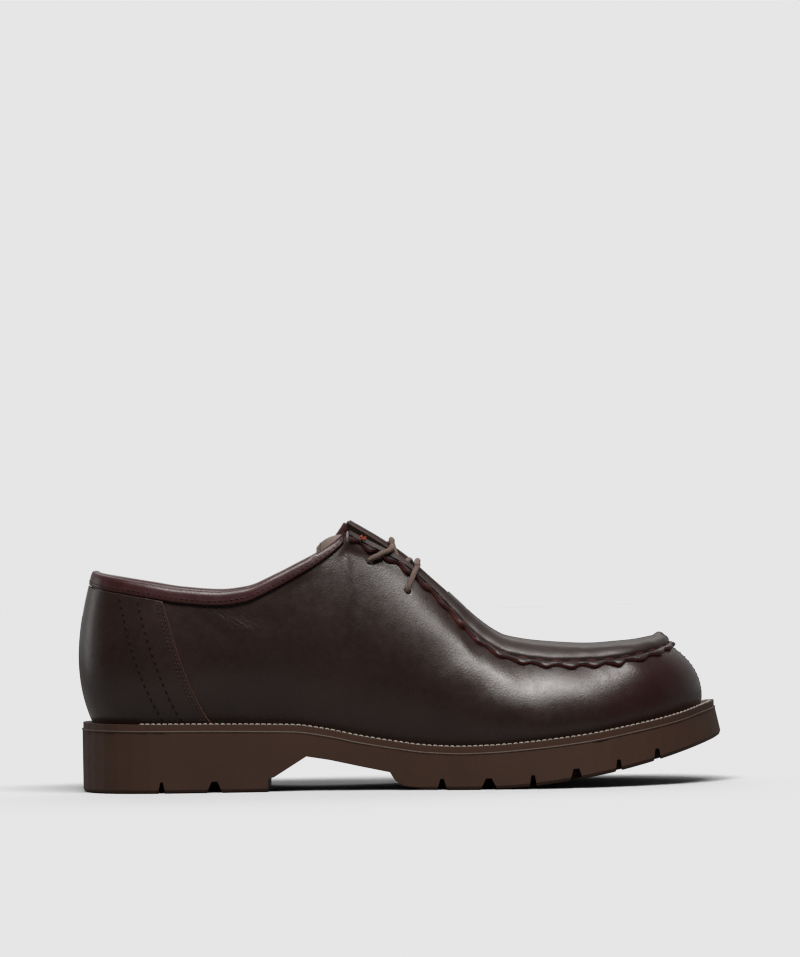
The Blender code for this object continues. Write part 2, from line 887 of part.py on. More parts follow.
def build_tongue(leather):
    """Arched strip under the facings, from behind their corners to under the plug."""
    sheet = Sheet()
    steps, columns = TONGUE_STEPS, TONGUE_COLUMNS
    start = throat_turns()[0][0] - TONGUE_REACH
    end = topline(turn_at(THROAT))[0] + TONGUE_UNDER_PLUG
    rows = []
    for i in range(steps + 1):
        x = start + (end - start) * i / steps
        rows.append([sheet.add(tongue_top(x, 2 * k / columns - 1)) for k in range(columns + 1)])
    for first, second in zip(rows, rows[1:]):
        sheet.strip(second, first)
    make("tongue", *sheet.body(-TONGUE_THICK, 0.0), leather)


def cord(points):
    """Round cord through points, closed at both ends."""
    sides = LACE_SIDES
    radius = LACE_DIAMETER / 2
    points = [np.array(point) for point in points]
    corners, faces = [], []
    across = np.cross(points[1] - points[0], UP)
    for i, point in enumerate(points):
        run = points[min(i + 1, len(points) - 1)] - points[max(i - 1, 0)]
        run /= np.linalg.norm(run)
        across = across - run * (across @ run)
        across /= np.linalg.norm(across)
        rise = np.cross(across, run)
        for k in range(sides):
            angle = 2 * math.pi * k / sides
            corners.append(point + (across * math.cos(angle) + rise * math.sin(angle)) * radius)
    for i in range(len(points) - 1):
        for k in range(sides):
            a, b = i * sides + k, i * sides + (k + 1) % sides
            faces.append((a, a + sides, b + sides, b))
    last = (len(points) - 1) * sides
    faces.append(tuple(range(sides)))
    faces.append(tuple(reversed(range(last, last + sides))))
    return corners, faces


def bent(points):
    """Points along a smooth curve through a few points."""
    knots = [points[0]] + list(points) + [points[-1]]
    curve = []
    for i in range(len(points) - 1):
        a, b, c, d = knots[i : i + 4]
        for t in LACE_SPANS:
            curve.append(
                0.5
                * (
                    2 * b
                    + (c - a) * t
                    + (2 * a - 5 * b + 4 * c - d) * t**2
                    + (3 * b - a - 3 * c + d) * t**3
                )
            )
    return curve + [points[-1]]


def over_facing(side, eyelet, crossing):
    """Lace from an eyelet up over the facing's edge; the edge is crossed further forward."""
    place, distance = EYELETS[eyelet]
    radius = LACE_DIAMETER / 2
    trim = APRON_THICK
    points = []
    for share, lift in LACE_RISE:
        turn = side * turn_at(place + (crossing - place) * (1 - share))
        point, out, up = wall_frame(turn, share_below(turn, distance * share))
        points.append(point + out * (radius + 2 * GAP + trim * lift))
    point, out, up = wall_frame(side * turn_at(crossing), 1.0)
    for aside, above in LACE_CREST:
        points.append(point + (out * aside + up * above) * (radius + 2 * GAP + trim))
    return points


def build_lace(cotton, guide):
    """Bar over the lower eyelets, and two strands that cross behind it."""
    lower = [over_facing(side, 1, LOWER_CROSSING) for side in (-1, 1)]
    make("lace_bar", *cord(bent(lower[0] + lower[1][::-1])), cotton)
    strands = []
    for side in (-1, 1):
        start = over_facing(side, 0, UPPER_CROSSING)
        across = []
        for share, ahead in CROSSING_PATH:
            x = start[-1][0] + (UNDER_FACING - start[-1][0]) * ahead
            across.append(on_tongue(x, side * share, LACE_DIAMETER / 2 + 3 * GAP))
        strands.append(cord(bent(start + across)))
    cross = make("lace_cross", *strands[0], cotton)
    other = make("lace_cross_guide", *strands[1], guide)
    cut(cross, [other], "UNION")


def main():
    for shape in list(bpy.data.objects):
        bpy.data.objects.remove(shape, do_unlink=True)
    rubber = finish("sole rubber", (0.060, 0.034, 0.024), 0.75)
    leather = finish("upper leather", (0.024, 0.014, 0.013), 0.35)
    trim = finish("trim leather", (0.055, 0.018, 0.020), 0.35)
    lining = finish("lining leather", (0.120, 0.075, 0.055), 0.6)
    cotton = finish("lace cotton", (0.105, 0.066, 0.050), 0.85)
    guide = finish("guide", (0.5, 0.5, 0.5), 0.5)
    build_outsole(rubber, guide)
    build_welt(rubber)
    build_insole(lining)
    build_upper(leather, guide)
    build_apron(leather)
    build_counter(leather)
    build_binding(trim)
    build_tongue(leather)
    build_lace(cotton, guide)


main()
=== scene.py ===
"""Looks of an apron toe derby, a right shoe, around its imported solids. Sizes are in metres.

The toe points to +X, the inner side of the foot to +Y, and the floor is z = 0.
A place round the shoe is a turn: 0 at the back of the heel, 1 or -1 at the tip of the
toe, positive on the inner side. A height on the upper's side is a share from 0 at the
welt to 1 at the topline: the collar, the facings' edges and the apron's ridge in turn.
"""
import functools
import math
import random

import bpy
import numpy as np
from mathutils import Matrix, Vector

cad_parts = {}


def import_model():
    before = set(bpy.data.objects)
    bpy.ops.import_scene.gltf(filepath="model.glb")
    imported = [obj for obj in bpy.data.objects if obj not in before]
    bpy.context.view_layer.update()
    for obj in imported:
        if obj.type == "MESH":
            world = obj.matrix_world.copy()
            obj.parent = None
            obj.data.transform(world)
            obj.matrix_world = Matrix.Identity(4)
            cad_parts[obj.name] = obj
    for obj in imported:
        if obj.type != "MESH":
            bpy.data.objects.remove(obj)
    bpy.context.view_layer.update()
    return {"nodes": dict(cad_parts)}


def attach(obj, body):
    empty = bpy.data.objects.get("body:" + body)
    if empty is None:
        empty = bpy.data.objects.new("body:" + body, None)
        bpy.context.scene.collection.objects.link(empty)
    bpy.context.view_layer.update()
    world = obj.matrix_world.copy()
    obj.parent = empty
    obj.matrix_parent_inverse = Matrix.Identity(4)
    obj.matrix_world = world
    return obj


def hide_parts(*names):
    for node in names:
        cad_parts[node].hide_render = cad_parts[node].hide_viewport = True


# Photo
PHOTO_HEIGHT = 957
FOCAL_PIXELS = 6380
SENSOR_MM = 36.0
CAMERA = (0.00125, -3.0, 0.1445)
CAMERA_ROLL = math.radians(1.0)
CAMERA_REACH = 100

# Sole
SOLE_LENGTH = 0.300
SOLE_WIDTH = 0.112
HEEL_SEAT = 0.0323
BALL_SEAT = 0.0198
TOE_LIFT = 0.0197
SIDE_FLARE = 0.0025
WELT_STEP = 0.0004
WELT_MARGIN = 0.0063

# Welt
WELT_THICK = 0.0031

# Upper
INSTEP_RISE = 0.094
MEDIAL_RISE = 0.0045
WALL = 0.0020
COLLAR_LEAN = 0.0005
APRON_SETBACK = 0.0190
CORNER = 0.450
THROAT = 0.617
VAMP = 0.760
PLUG_CROWN = 0.0010
EYELET_RADIUS = 0.0017

# Overlays and trims
GAP = 0.0003
COUNTER_GAP = 0.0005
COUNTER_THICK = 0.0010
BINDING_THICK = 0.0010
BINDING_WIDTH = 0.0051
BINDING_WIDTH_FRONT = 0.0036
BINDING_INSIDE = 0.0055
BINDING_GAP = 0.0005
CREST_SLACK = 0.0010
BINDING_STOP = 0.0042
BINDING_TAPER = 6
APRON_START = 0.0012
APRON_THICK = 0.0013
APRON_REACH = 0.0140
SEAM_RAISE = 0.0013
STITCH_DIP = 0.0008
EDGE_THIN = 0.0005
PINK_PITCH = 0.0107
PINK_DEPTH = 0.0010
PINK_CURL = 0.0008

# Tongue and lace
TONGUE_THICK = 0.0020
TONGUE_DEPTH = 0.0040
TONGUE_ARCH = 0.0085
TONGUE_BEND = 0.18
TONGUE_PAST = 0.06
TONGUE_REACH = 0.015
TONGUE_WIDER = 0.0010
TONGUE_TUCK = 0.0045
TONGUE_UNDER_PLUG = 0.014
TONGUE_DROOP = 0.0035
TONGUE_FULL = 0.94
TONGUE_ROUND = 4
LACE_DIAMETER = 0.0024
UPPER_CROSSING = 0.524
LOWER_CROSSING = 0.568
UNDER_FACING = 0.0060

# Softened edges, and angles past which an edge stays sharp
SOLE_ROUND = 0.0005
WELT_ROUND = 0.0004
EDGE_ROUND = 0.0004
TRIM_ROUND = 0.00024
SHARP = math.radians(50)
NODE_SHARP = math.radians(35)
NEVER_SHARP = math.radians(180)

UP = np.array((0.0, 0.0, 1.0))
STEP = 0.002
DEPTH_STEPS = 60


class Table:
    """Rows of shares under named columns, read smoothly along the first column."""

    def __init__(self, columns, *rows):
        self.columns = columns.split()
        self.rows = np.array(rows, float)
        self.places = np.array([turn_at(row[0]) for row in rows])

    def at(self, column, along):
        places = self.places
        values = self.rows[:, self.columns.index(column)]
        place = min(max(turn_at(along), places[0]), places[-1])
        i = min(int(np.searchsorted(places, place, side="right")) - 1, len(places) - 2)
        gaps = np.diff(places)
        grades = np.diff(values) / gaps
        width = gaps[i]
        share = (place - places[i]) / width
        start = knot_slope(grades, gaps, i) * width
        end = knot_slope(grades, gaps, i + 1) * width
        return float(
            values[i] * (1 + 2 * share) * (1 - share) ** 2
            + start * share * (1 - share) ** 2
            + values[i + 1] * share**2 * (3 - 2 * share)
            + end * share**2 * (share - 1)
        )


def knot_slope(grades, gaps, i):
    """Slope at a row: the one that keeps a rise or a fall free of waves."""
    if i == 0:
        return grades[0]
    if i == len(grades):
        return grades[-1]
    before, after = grades[i - 1], grades[i]
    if before * after <= 0:
        return 0.0
    weight_a = 2 * gaps[i] + gaps[i - 1]
    weight_b = gaps[i] + 2 * gaps[i - 1]
    return (weight_a + weight_b) / (weight_a / before + weight_b / after)


def turn_at(along):
    """Turn at a share of the length, which rounds both ends of an outline."""
    return math.acos(1 - 2 * min(max(along, 0.0), 1.0)) / math.pi


def along_at(turn):
    """Share of the length at a turn."""
    return (1 - math.cos(math.pi * turn)) / 2


# Sole's edge in plan: centre and half width, in shares of SOLE_WIDTH
OUTLINE = Table(
    "along centre half",
    (0.00, 0.014, 0.000),
    (0.02, 0.014, 0.182),
    (0.06, 0.014, 0.284),
    (0.13, 0.013, 0.335),
    (0.24, 0.009, 0.341),
    (0.36, -0.018, 0.320),
    (0.45, -0.034, 0.330),
    (0.55, -0.034, 0.386),
    (0.64, -0.026, 0.452),
    (0.72, -0.011, 0.493),
    (0.79, 0.009, 0.497),
    (0.86, 0.032, 0.451),
    (0.92, 0.044, 0.367),
    (0.965, 0.054, 0.246),
    (0.99, 0.060, 0.131),
    (1.00, 0.064, 0.000),
)

# Welt's top: share of the heel's extra height, and share of the toe's lift
SEAT = Table(
    "along heel toe",
    (0.00, 1.030, 0.000),
    (0.07, 0.985, 0.000),
    (0.33, 0.879, 0.000),
    (0.383, 0.705, 0.000),
    (0.433, 0.447, 0.000),
    (0.487, 0.220, 0.000),
    (0.54, 0.053, 0.000),
    (0.59, 0.000, 0.000),
    (0.643, 0.000, 0.025),
    (0.687, 0.000, 0.076),
    (0.78, 0.000, 0.228),
    (0.857, 0.000, 0.426),
    (0.937, 0.000, 0.680),
    (0.97, 0.000, 0.832),
    (1.00, 0.000, 1.000),
)

# How far the tread's edge stands out past the welt, as a share of SIDE_FLARE
FLARE = Table("along share", (0.0, 0.0), (0.45, 0.15), (0.75, 0.5), (1.0, 1.0))

# Topline in plan: centre and half width, in shares of SOLE_WIDTH
TOPLINE = Table(
    "along centre half",
    (0.00, 0.014, 0.000),
    (0.02, 0.014, 0.138),
    (0.06, 0.014, 0.212),
    (0.13, 0.012, 0.262),
    (0.22, 0.008, 0.284),
    (0.30, 0.006, 0.278),
    (0.37, 0.008, 0.248),
    (0.450, 0.012, 0.190),
    (0.549, 0.016, 0.172),
    (0.636, 0.018, 0.182),
    (0.706, 0.018, 0.210),
    (0.813, 0.026, 0.258),
    (0.903, 0.040, 0.262),
    (0.965, 0.050, 0.202),
    (0.990, 0.056, 0.120),
    (1.00, 0.060, 0.000),
)

# Height of the collar, then of the facings and the apron's ridge, above the welt's
# top, in shares of INSTEP_RISE
COLLAR = Table(
    "along rise",
    (0.00, 0.739),
    (0.045, 0.706),
    (0.10, 0.679),
    (0.155, 0.653),
    (0.222, 0.640),
    (0.266, 0.655),
    (0.321, 0.721),
    (0.368, 0.794),
    (0.398, 0.853),
    (0.438, 0.954),
    (0.450, 1.003),
)
RIDGE = Table(
    "along rise",
    (0.450, 1.003),
    (0.549, 0.894),
    (0.599, 0.791),
    (0.636, 0.697),
    (0.670, 0.600),
    (0.706, 0.520),
    (0.723, 0.493),
    (0.813, 0.428),
    (0.903, 0.385),
    (0.965, 0.370),
    (1.00, 0.378),
)

# Share of MEDIAL_RISE by which the inner side stands higher
INNER = Table(
    "along share",
    (0.0, 0.0),
    (0.405, 0.0),
    (0.45, 1.0),
    (0.61, 0.1),
    (0.7, 0.0),
    (1.0, 0.0),
)

# Side's swell: outward pull of its lower and upper half in shares of SOLE_WIDTH, and how
# far below the topline the upper pull acts, as a share of the side's height
SWELL = Table(
    "along low high drop",
    (0.00, 0.090, 0.056, 0.34),
    (0.10, 0.082, 0.045, 0.34),
    (0.22, 0.072, 0.030, 0.32),
    (0.35, 0.072, 0.045, 0.26),
    (0.450, 0.072, 0.085, 0.21),
    (0.55, 0.064, 0.125, 0.19),
    (0.65, 0.050, 0.140, 0.21),
    (0.80, 0.040, 0.132, 0.23),
    (0.92, 0.026, 0.140, 0.28),
    (1.00, 0.010, 0.150, 0.30),
)

# Apron's reach below the ridge, the flange below its stitches, and how full its seam
# is: shares of APRON_REACH, of the reach and of SEAM_RAISE
REACH = Table(
    "along reach flange full",
    (0.450, 0.286, 0.45, 0.0),
    (0.54, 0.329, 0.43, 0.0),
    (0.60, 0.471, 0.38, 0.2),
    (0.64, 0.743, 0.30, 0.6),
    (0.68, 0.929, 0.27, 0.9),
    (0.72, 1.000, 0.26, 1.0),
    (0.80, 0.986, 0.26, 1.0),
    (0.85, 0.871, 0.28, 1.0),
    (0.90, 0.764, 0.30, 1.0),
    (0.94, 0.657, 0.32, 1.0),
    (0.98, 0.543, 0.36, 1.0),
    (1.00, 0.471, 0.38, 1.0),
)

# Eyelets: share along the topline, and distance below it
EYELETS = ((0.490, 0.0095), (0.555, 0.0150))

# Cut edge of the heel counter and the stitches behind it: place along the feather line
# and along the collar
COUNTER_EDGE = (0.206, 0.125)
COUNTER_FINE = ((0.1990, 0.1210), (0.1945, 0.1140))
COUNTER_COARSE = ((0.164, 0.082), (0.134, 0.052))
COUNTER_SWEEP = 0.8
COUNTER_START = 0.004


@functools.cache
def edge_in_plan(turn):
    """Outermost point of the sole at a turn, which may run past the toe."""
    if abs(turn) > 1:
        turn = turn - math.copysign(2, turn)
    along = along_at(abs(turn))
    half = math.copysign(OUTLINE.at("half", along), turn)
    return np.array((SOLE_LENGTH * (along - 0.5), SOLE_WIDTH * (OUTLINE.at("centre", along) + half)))


@functools.cache
def outward(turn):
    """Level direction that points away from the shoe."""
    run = edge_in_plan(turn + STEP) - edge_in_plan(turn - STEP)
    run /= np.linalg.norm(run)
    return np.array((-run[1], run[0], 0.0))


def seat_height(x):
    """Top of the welt."""
    along = min(max(x / SOLE_LENGTH + 0.5, 0.0), 1.0)
    heel = (HEEL_SEAT - BALL_SEAT) * SEAT.at("heel", along)
    return BALL_SEAT + heel + TOE_LIFT * SEAT.at("toe", along)


def on_welt(turn, inset):
    """Point on the welt's top, moved inward from the sole's edge."""
    x, y = edge_in_plan(turn)
    inset += SIDE_FLARE * FLARE.at("share", along_at(abs(turn)))
    point = np.array((x, y, 0.0)) - outward(turn) * inset
    point[2] = seat_height(point[0])
    return point


@functools.cache
def feather(turn):
    """Outer foot of the upper's wall."""
    return on_welt(turn, WELT_MARGIN) + UP * GAP


@functools.cache
def topline(turn):
    """Top of the upper's wall: collar, facing edge or apron ridge."""
    along = along_at(abs(turn))
    back = feather(0.0)[0] + COLLAR_LEAN
    front = feather(1.0)[0] - APRON_SETBACK
    x = back + (front - back) * along
    half = math.copysign(TOPLINE.at("half", along), turn)
    y = SOLE_WIDTH * (TOPLINE.at("centre", along) + half)
    rise = (COLLAR if along < CORNER else RIDGE).at("rise", along) * INSTEP_RISE
    if turn > 0:
        rise += MEDIAL_RISE * INNER.at("share", along)
    return np.array((x, y, seat_height(x) + rise))


@functools.cache
def pulls(turn):
    """The four points that shape the side's section at a turn, from the welt up."""
    if abs(turn) > 1:
        turn = turn - math.copysign(2, turn)
    along = along_at(abs(turn))
    foot = feather(turn)
    top = topline(turn)
    height = top[2] - foot[2]
    out = outward(turn) * SOLE_WIDTH
    low = foot + out * SWELL.at("low", along) + UP * height / 3
    high = top + out * SWELL.at("high", along) - UP * height * SWELL.at("drop", along)
    return np.array((foot, low, high, top))


def side(turn, shares):
    """Points of the upper's outer face at a turn, one for each share of the height."""
    up = np.asarray(shares, float)[..., None]
    down = 1 - up
    weights = np.concatenate((down**3, 3 * down**2 * up, 3 * down * up**2, up**3), axis=-1)
    return weights @ pulls(turn)


def lengths_along(points):
    """Length of a route up to each of its points."""
    steps = np.linalg.norm(np.diff(np.array(points), axis=0), axis=1)
    return np.concatenate(([0.0], np.cumsum(steps)))


@functools.cache
def depth_table(turn):
    """Shares from the topline downward, and their distances below it."""
    shares = np.linspace(1.0, 0.0, DEPTH_STEPS + 1)
    return shares, lengths_along(side(turn, shares))


def share_below(turn, distance):
    """Share of the side's height that lies a distance below the topline."""
    shares, depths = depth_table(turn)
    return float(np.interp(distance, depths, shares))


def leather_frame(turn, share):
    """Point on the side, the way out of the leather, and the way up along it."""
    round_it = side(turn + STEP, share) - side(turn - STEP, share)
    rising = side(turn, min(share + STEP, 1.0)) - side(turn, max(share - STEP, 0.0))
    out = np.cross(rising, round_it)
    return side(turn, share), out / np.linalg.norm(out), rising / np.linalg.norm(rising)


def plug(turn, across):
    """Top of the forepart, from the outer ridge at 0 to the inner ridge at 1."""
    outer, inner = topline(-turn), topline(turn)
    return outer + (inner - outer) * across + UP * PLUG_CROWN * 4 * across * (1 - across)


def spaced(first, last, count):
    """Values from first to last in a number of equal steps."""
    return [first + (last - first) * i / count for i in range(count + 1)]


class Sheet:
    """Points and faces of a surface, which gets its thickness in solid()."""

    def __init__(self):
        self.points = []
        self.lifts = []
        self.faces = []

    def add(self, point, lift=0.0):
        self.points.append(point)
        self.lifts.append(lift)
        return len(self.points) - 1

    def strip(self, first, second):
        """Faces between two rows of points; equal points close to triangles."""
        for corners in zip(first, first[1:], second[1:], second):
            corners = tuple(dict.fromkeys(corners))
            if len(corners) > 2:
                self.faces.append(corners)

    def normals(self):
        points = np.array(self.points)
        normals = np.zeros_like(points)
        quads = np.array([face if len(face) == 4 else face + face[:1] for face in self.faces])
        a, b, c, d = (points[quads[:, k]] for k in range(4))
        for k in range(4):
            np.add.at(normals, quads[:, k], np.cross(c - a, d - b))
        return normals / np.linalg.norm(normals, axis=1)[:, None]

    def solid(self, name, inner, outer, materials, plain=()):
        """Piece between the sheet moved by inner and by outer plus its lifts.

        Its materials are those of its face, its back and its cut edge; the edge keeps
        the face's material between plain points."""
        points = np.array(self.points)
        normals = self.normals()
        lifts = np.array(self.lifts)[:, None]
        count = len(points)
        corners = np.concatenate((points + normals * (outer + lifts), points + normals * inner))
        back = [tuple(i + count for i in reversed(face)) for face in self.faces]
        edges = set()
        for face in self.faces:
            edges.update(zip(face, face[1:] + face[:1]))
        rim = [(b, a, a + count, b + count) for a, b in sorted(edges) if (b, a) not in edges]
        slots = [0] * len(self.faces) + [1] * len(back)
        slots += [0 if b in plain and a in plain else 2 for b, a, *_ in rim]
        return piece(name, corners, self.faces + back + rim, materials, slots)


def mesh_of(name, corners, faces):
    mesh = bpy.data.meshes.new(name)
    mesh.from_pydata([tuple(corner) for corner in corners], [], faces)
    return mesh


def placed(name, data):
    """New object in the scene."""
    shape = bpy.data.objects.new(name, data)
    bpy.context.scene.collection.objects.link(shape)
    return shape


def piece(name, corners, faces, materials, slots=None, sharp=SHARP):
    """Object that rides on the shoe, smooth except along its sharp edges."""
    mesh = mesh_of(name, corners, faces)
    mesh.shade_smooth()
    mesh.set_sharp_from_angle(angle=sharp)
    for material in materials:
        mesh.materials.append(material)
    if slots:
        mesh.polygons.foreach_set("material_index", slots)
    shape = placed(name, mesh)
    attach(shape, "root")
    return shape


def rounded(shape, width, angle=SHARP):
    """Take the sharpness off a piece's edges."""
    bevel = shape.modifiers.new("soft edges", "BEVEL")
    bevel.width = width
    bevel.segments = 2
    bevel.limit_method = "ANGLE"
    bevel.angle_limit = angle
    bevel.harden_normals = False


def ring(centre, first, second, radius, sides):
    """Points of a circle round a centre, from two directions across it."""
    angles = [2 * math.pi * k / sides for k in range(sides)]
    return [centre + (first * math.cos(angle) + second * math.sin(angle)) * radius for angle in angles]


def belt(start, sides):
    """Faces from a ring of points to the ring that follows it."""
    pairs = [(start + k, start + (k + 1) % sides) for k in range(sides)]
    return [(a, b, b + sides, a + sides) for a, b in pairs]


def cap(start, sides):
    """Face over a ring of points."""
    return tuple(range(start, start + sides))


# Upper
HEEL_STEPS = 46
COLLAR_STEPS = 34
FACING_STEPS = 34
VAMP_STEPS = 40
TOE_STEPS = 64
COLLAR_BEND = 0.345
SEAM_TURNS = (0.9880, 0.9910, 0.9935, 0.9955, 0.9970, 0.9985)
WALL_ROWS = 44
ROW_CROWDING = 1.15
PLUG_COLUMNS = 8
TOE_SEAM_DEPTH = 0.0007
TOE_SEAM_WIDTH = 0.0013
EYELET_SIDES = 24
PUNCH_REACH = 3 * WALL

# Smoothing under the facing's corner: turns that it covers, turns that it averages, and
# the depths below the topline where it starts and is full
EASE_SPREAD = 0.085
EASE_WIDTH = 0.045
EASE_REACH = 2.0
EASE_SAMPLES = 17
EASE_LEAST = 0.001
EASE_START = 0.0045
EASE_END = 0.0095

# Soft troughs in the leather, the same on both sides: place along and share of
# SIDE_HEIGHT at both ends, width and depth
CREASES = (
    (0.235, 0.90, 0.330, 0.62, 0.0050, 0.00045),
    (0.205, 0.80, 0.290, 0.50, 0.0060, 0.00040),
    (0.560, 0.40, 0.640, 0.62, 0.0080, 0.00050),
    (0.600, 0.28, 0.690, 0.48, 0.0090, 0.00045),
)
SIDE_HEIGHT = 0.080


def crease(turn, share):
    """How far the leather's surface lies below its plain shape, as a negative lift."""
    along = along_at(abs(turn))
    place = np.array((along * SOLE_LENGTH, share * SIDE_HEIGHT))
    total = 0.0
    for start_along, start_share, end_along, end_share, width, depth in CREASES:
        start = np.array((start_along * SOLE_LENGTH, start_share * SIDE_HEIGHT))
        run = np.array((end_along * SOLE_LENGTH, end_share * SIDE_HEIGHT)) - start
        length = np.linalg.norm(run)
        way = (place - start) @ run / length**2
        aside = abs((place - start) @ np.array((-run[1], run[0]))) / length
        fade = math.exp(-((2 * way - 1) ** 4))
        total -= depth * fade * math.exp(-((aside / width) ** 2))
    return total


def toe_seam(turn, share):
    """Groove of the seam that runs down the middle of the toe."""
    aside = np.linalg.norm(side(turn, share) - side(math.copysign(1, turn), share))
    return -TOE_SEAM_DEPTH * math.exp(-((aside / TOE_SEAM_WIDTH) ** 2))


@functools.cache
def half_turns():
    """Turns from heel to toe, with one at the facing's corner and one at the throat."""
    bend, corner, throat, vamp = (turn_at(along) for along in (COLLAR_BEND, CORNER, THROAT, VAMP))
    turns = spaced(0.0, bend, HEEL_STEPS)[:-1] + spaced(bend, corner, COLLAR_STEPS)[:-1]
    turns += spaced(corner, throat, FACING_STEPS)[:-1] + spaced(throat, vamp, VAMP_STEPS)[:-1]
    return turns + spaced(vamp, SEAM_TURNS[0], TOE_STEPS)[:-1] + list(SEAM_TURNS) + [1.0]


def eased(turn, shares):
    """How far the side stands out under the facing's corner, so that no fold shows."""
    near = math.exp(-(((abs(turn) - turn_at(CORNER)) / EASE_SPREAD) ** 4))
    if near < EASE_LEAST:
        return np.zeros(len(shares))
    point = side(turn, shares)
    steps = np.linspace(-EASE_REACH, EASE_REACH, EASE_SAMPLES)
    weights = np.exp(-(steps**2))
    around = sum(w * side(turn + EASE_WIDTH * step, shares) for w, step in zip(weights, steps))
    move = around / weights.sum() - point
    round_it = side(turn + STEP, shares) - side(turn - STEP, shares)
    rising = np.gradient(point, axis=0)
    out = np.cross(rising, round_it)
    out /= np.linalg.norm(out, axis=1)[:, None]
    depth = np.linalg.norm(point - point[-1], axis=1)
    full = np.clip((depth - EASE_START) / (EASE_END - EASE_START), 0.0, 1.0)
    return near * full * full * (3 - 2 * full) * np.sum(move * out, axis=1)


def build_upper(materials):
    sheet = Sheet()
    half = half_turns()
    turns = [-turn for turn in half] + half[-2:0:-1]
    shares = [1 - (1 - row / WALL_ROWS) ** ROW_CROWDING for row in range(WALL_ROWS + 1)]
    columns = []
    for turn in turns:
        seam = SEAM_TURNS[0] < abs(turn)
        lifts = eased(turn, shares)
        lifts += [crease(turn, share) + (toe_seam(turn, share) if seam else 0.0) for share in shares]
        columns.append([sheet.add(point, lift) for point, lift in zip(side(turn, shares), lifts)])
    for first, second in zip(columns, columns[1:] + columns[:1]):
        sheet.strip(second, first)
    toe = len(half) - 1
    rows = []
    for i in range(half.index(turn_at(THROAT)), toe):
        middle = [sheet.add(plug(half[i], k / PLUG_COLUMNS)) for k in range(1, PLUG_COLUMNS)]
        rows.append([columns[i][-1]] + middle + [columns[2 * toe - i][-1]])
    rows.append([columns[toe][-1]] * (PLUG_COLUMNS + 1))
    for first, second in zip(rows, rows[1:]):
        sheet.strip(second, first)
    upper = sheet.solid("upper_leather", -WALL, 0.0, materials)
    punch(upper)
    rounded(upper, EDGE_ROUND)
    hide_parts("upper")


def punch(upper):
    """Cut the eyelets through the leather."""
    corners, faces = [], []
    for along, distance in EYELETS:
        for hand in (-1, 1):
            turn = hand * turn_at(along)
            point, out, up = leather_frame(turn, share_below(turn, distance))
            right = np.cross(up, out)
            start = len(corners)
            for end in (-PUNCH_REACH, PUNCH_REACH):
                corners += ring(point + out * end, right, up, EYELET_RADIUS, EYELET_SIDES)
            faces.append(cap(start, EYELET_SIDES)[::-1])
            faces.append(cap(start + EYELET_SIDES, EYELET_SIDES))
            faces += belt(start, EYELET_SIDES)
    tool = placed("punch", mesh_of("punch", corners, faces))
    cut = upper.modifiers.new("eyelets", "BOOLEAN")
    cut.operation = "DIFFERENCE"
    cut.solver = "EXACT"
    cut.object = tool
    graph = bpy.context.evaluated_depsgraph_get()
    upper.data = bpy.data.meshes.new_from_object(upper.evaluated_get(graph))
    upper.modifiers.clear()
    bpy.data.objects.remove(tool)


# Apron
PINK_SAMPLES = 14
PINK_SEED = 8
PINK_SWELL = (0.75, 1.3)
APRON_SAMPLES = 400
APRON_COLUMNS = 20
APRON_SKIP = 3
GROOVE = 0.0007
GATHER = 0.22
BEAD = 0.0028

# Flange, from its edge up: shares of its width, of the wave at its edge, of its curl and
# of the thinning of its edge
FLANGE_ROWS = ((1.0, 1.0, 1.0, 1.0), (0.8, 0.8, 0.8, 0.0), (0.4, 0.0, 0.2, 0.0))

# Groove that the stitches lie in: place in shares of GROOVE, and share of STITCH_DIP
GROOVE_ROWS = ((1.0, 0.1), (0.5, 0.8), (0.0, 1.0), (-0.5, 0.6))

# Seam above the stitches: shares of the way to the ridge and of the seam's lift
BAND_ROWS = (0.10, 0.20, 0.34, 0.50, 0.66, 0.80, 0.90, 1.0)
BAND_LIFTS = (0.30, 0.58, 0.84, 0.98, 1.02, 1.00, 0.94, 0.80)


@functools.cache
def apron_turns():
    """Turns from the outer corner round the toe to the inner one, and the toe's place."""
    fine = spaced(turn_at(CORNER) + APRON_START, 1.0, APRON_SAMPLES)
    points = np.array([topline(turn) for turn in fine])
    lengths = lengths_along(points)
    count = round(lengths[-1] / PINK_PITCH) * PINK_SAMPLES
    half = list(np.interp(np.linspace(0.0, lengths[-1], count + 1), lengths, fine))
    return [-turn for turn in half] + half[-2::-1], count


def apron_sizes(turn):
    """Depth of the stitched line below the ridge, width of the flange and the seam's lift."""
    along = along_at(abs(turn))
    reach = REACH.at("reach", along) * APRON_REACH
    flange = REACH.at("flange", along) * reach
    return reach - flange, flange, REACH.at("full", along) * SEAM_RAISE


def apron_rows(turn, wave, swell):
    """Depths below the ridge and lifts of the apron's side, from its wavy edge up."""
    band, flange, full = apron_sizes(turn)
    pucker = PINK_CURL * (0.5 + 0.5 * wave) * swell
    rows = []
    for share, waved, curled, thinned in FLANGE_ROWS:
        low = band + flange * share + PINK_DEPTH * wave * swell * waved
        rows.append((low, pucker * curled - EDGE_THIN * thinned))
    rows += [(band + GROOVE * place, -STITCH_DIP * dip) for place, dip in GROOVE_ROWS]
    for share, lift in zip(BAND_ROWS, BAND_LIFTS):
        gather = 1 - GATHER * (1 - share) * (0.5 - 0.5 * wave)
        rows.append((band * (1 - share), full * lift * gather))
    return rows


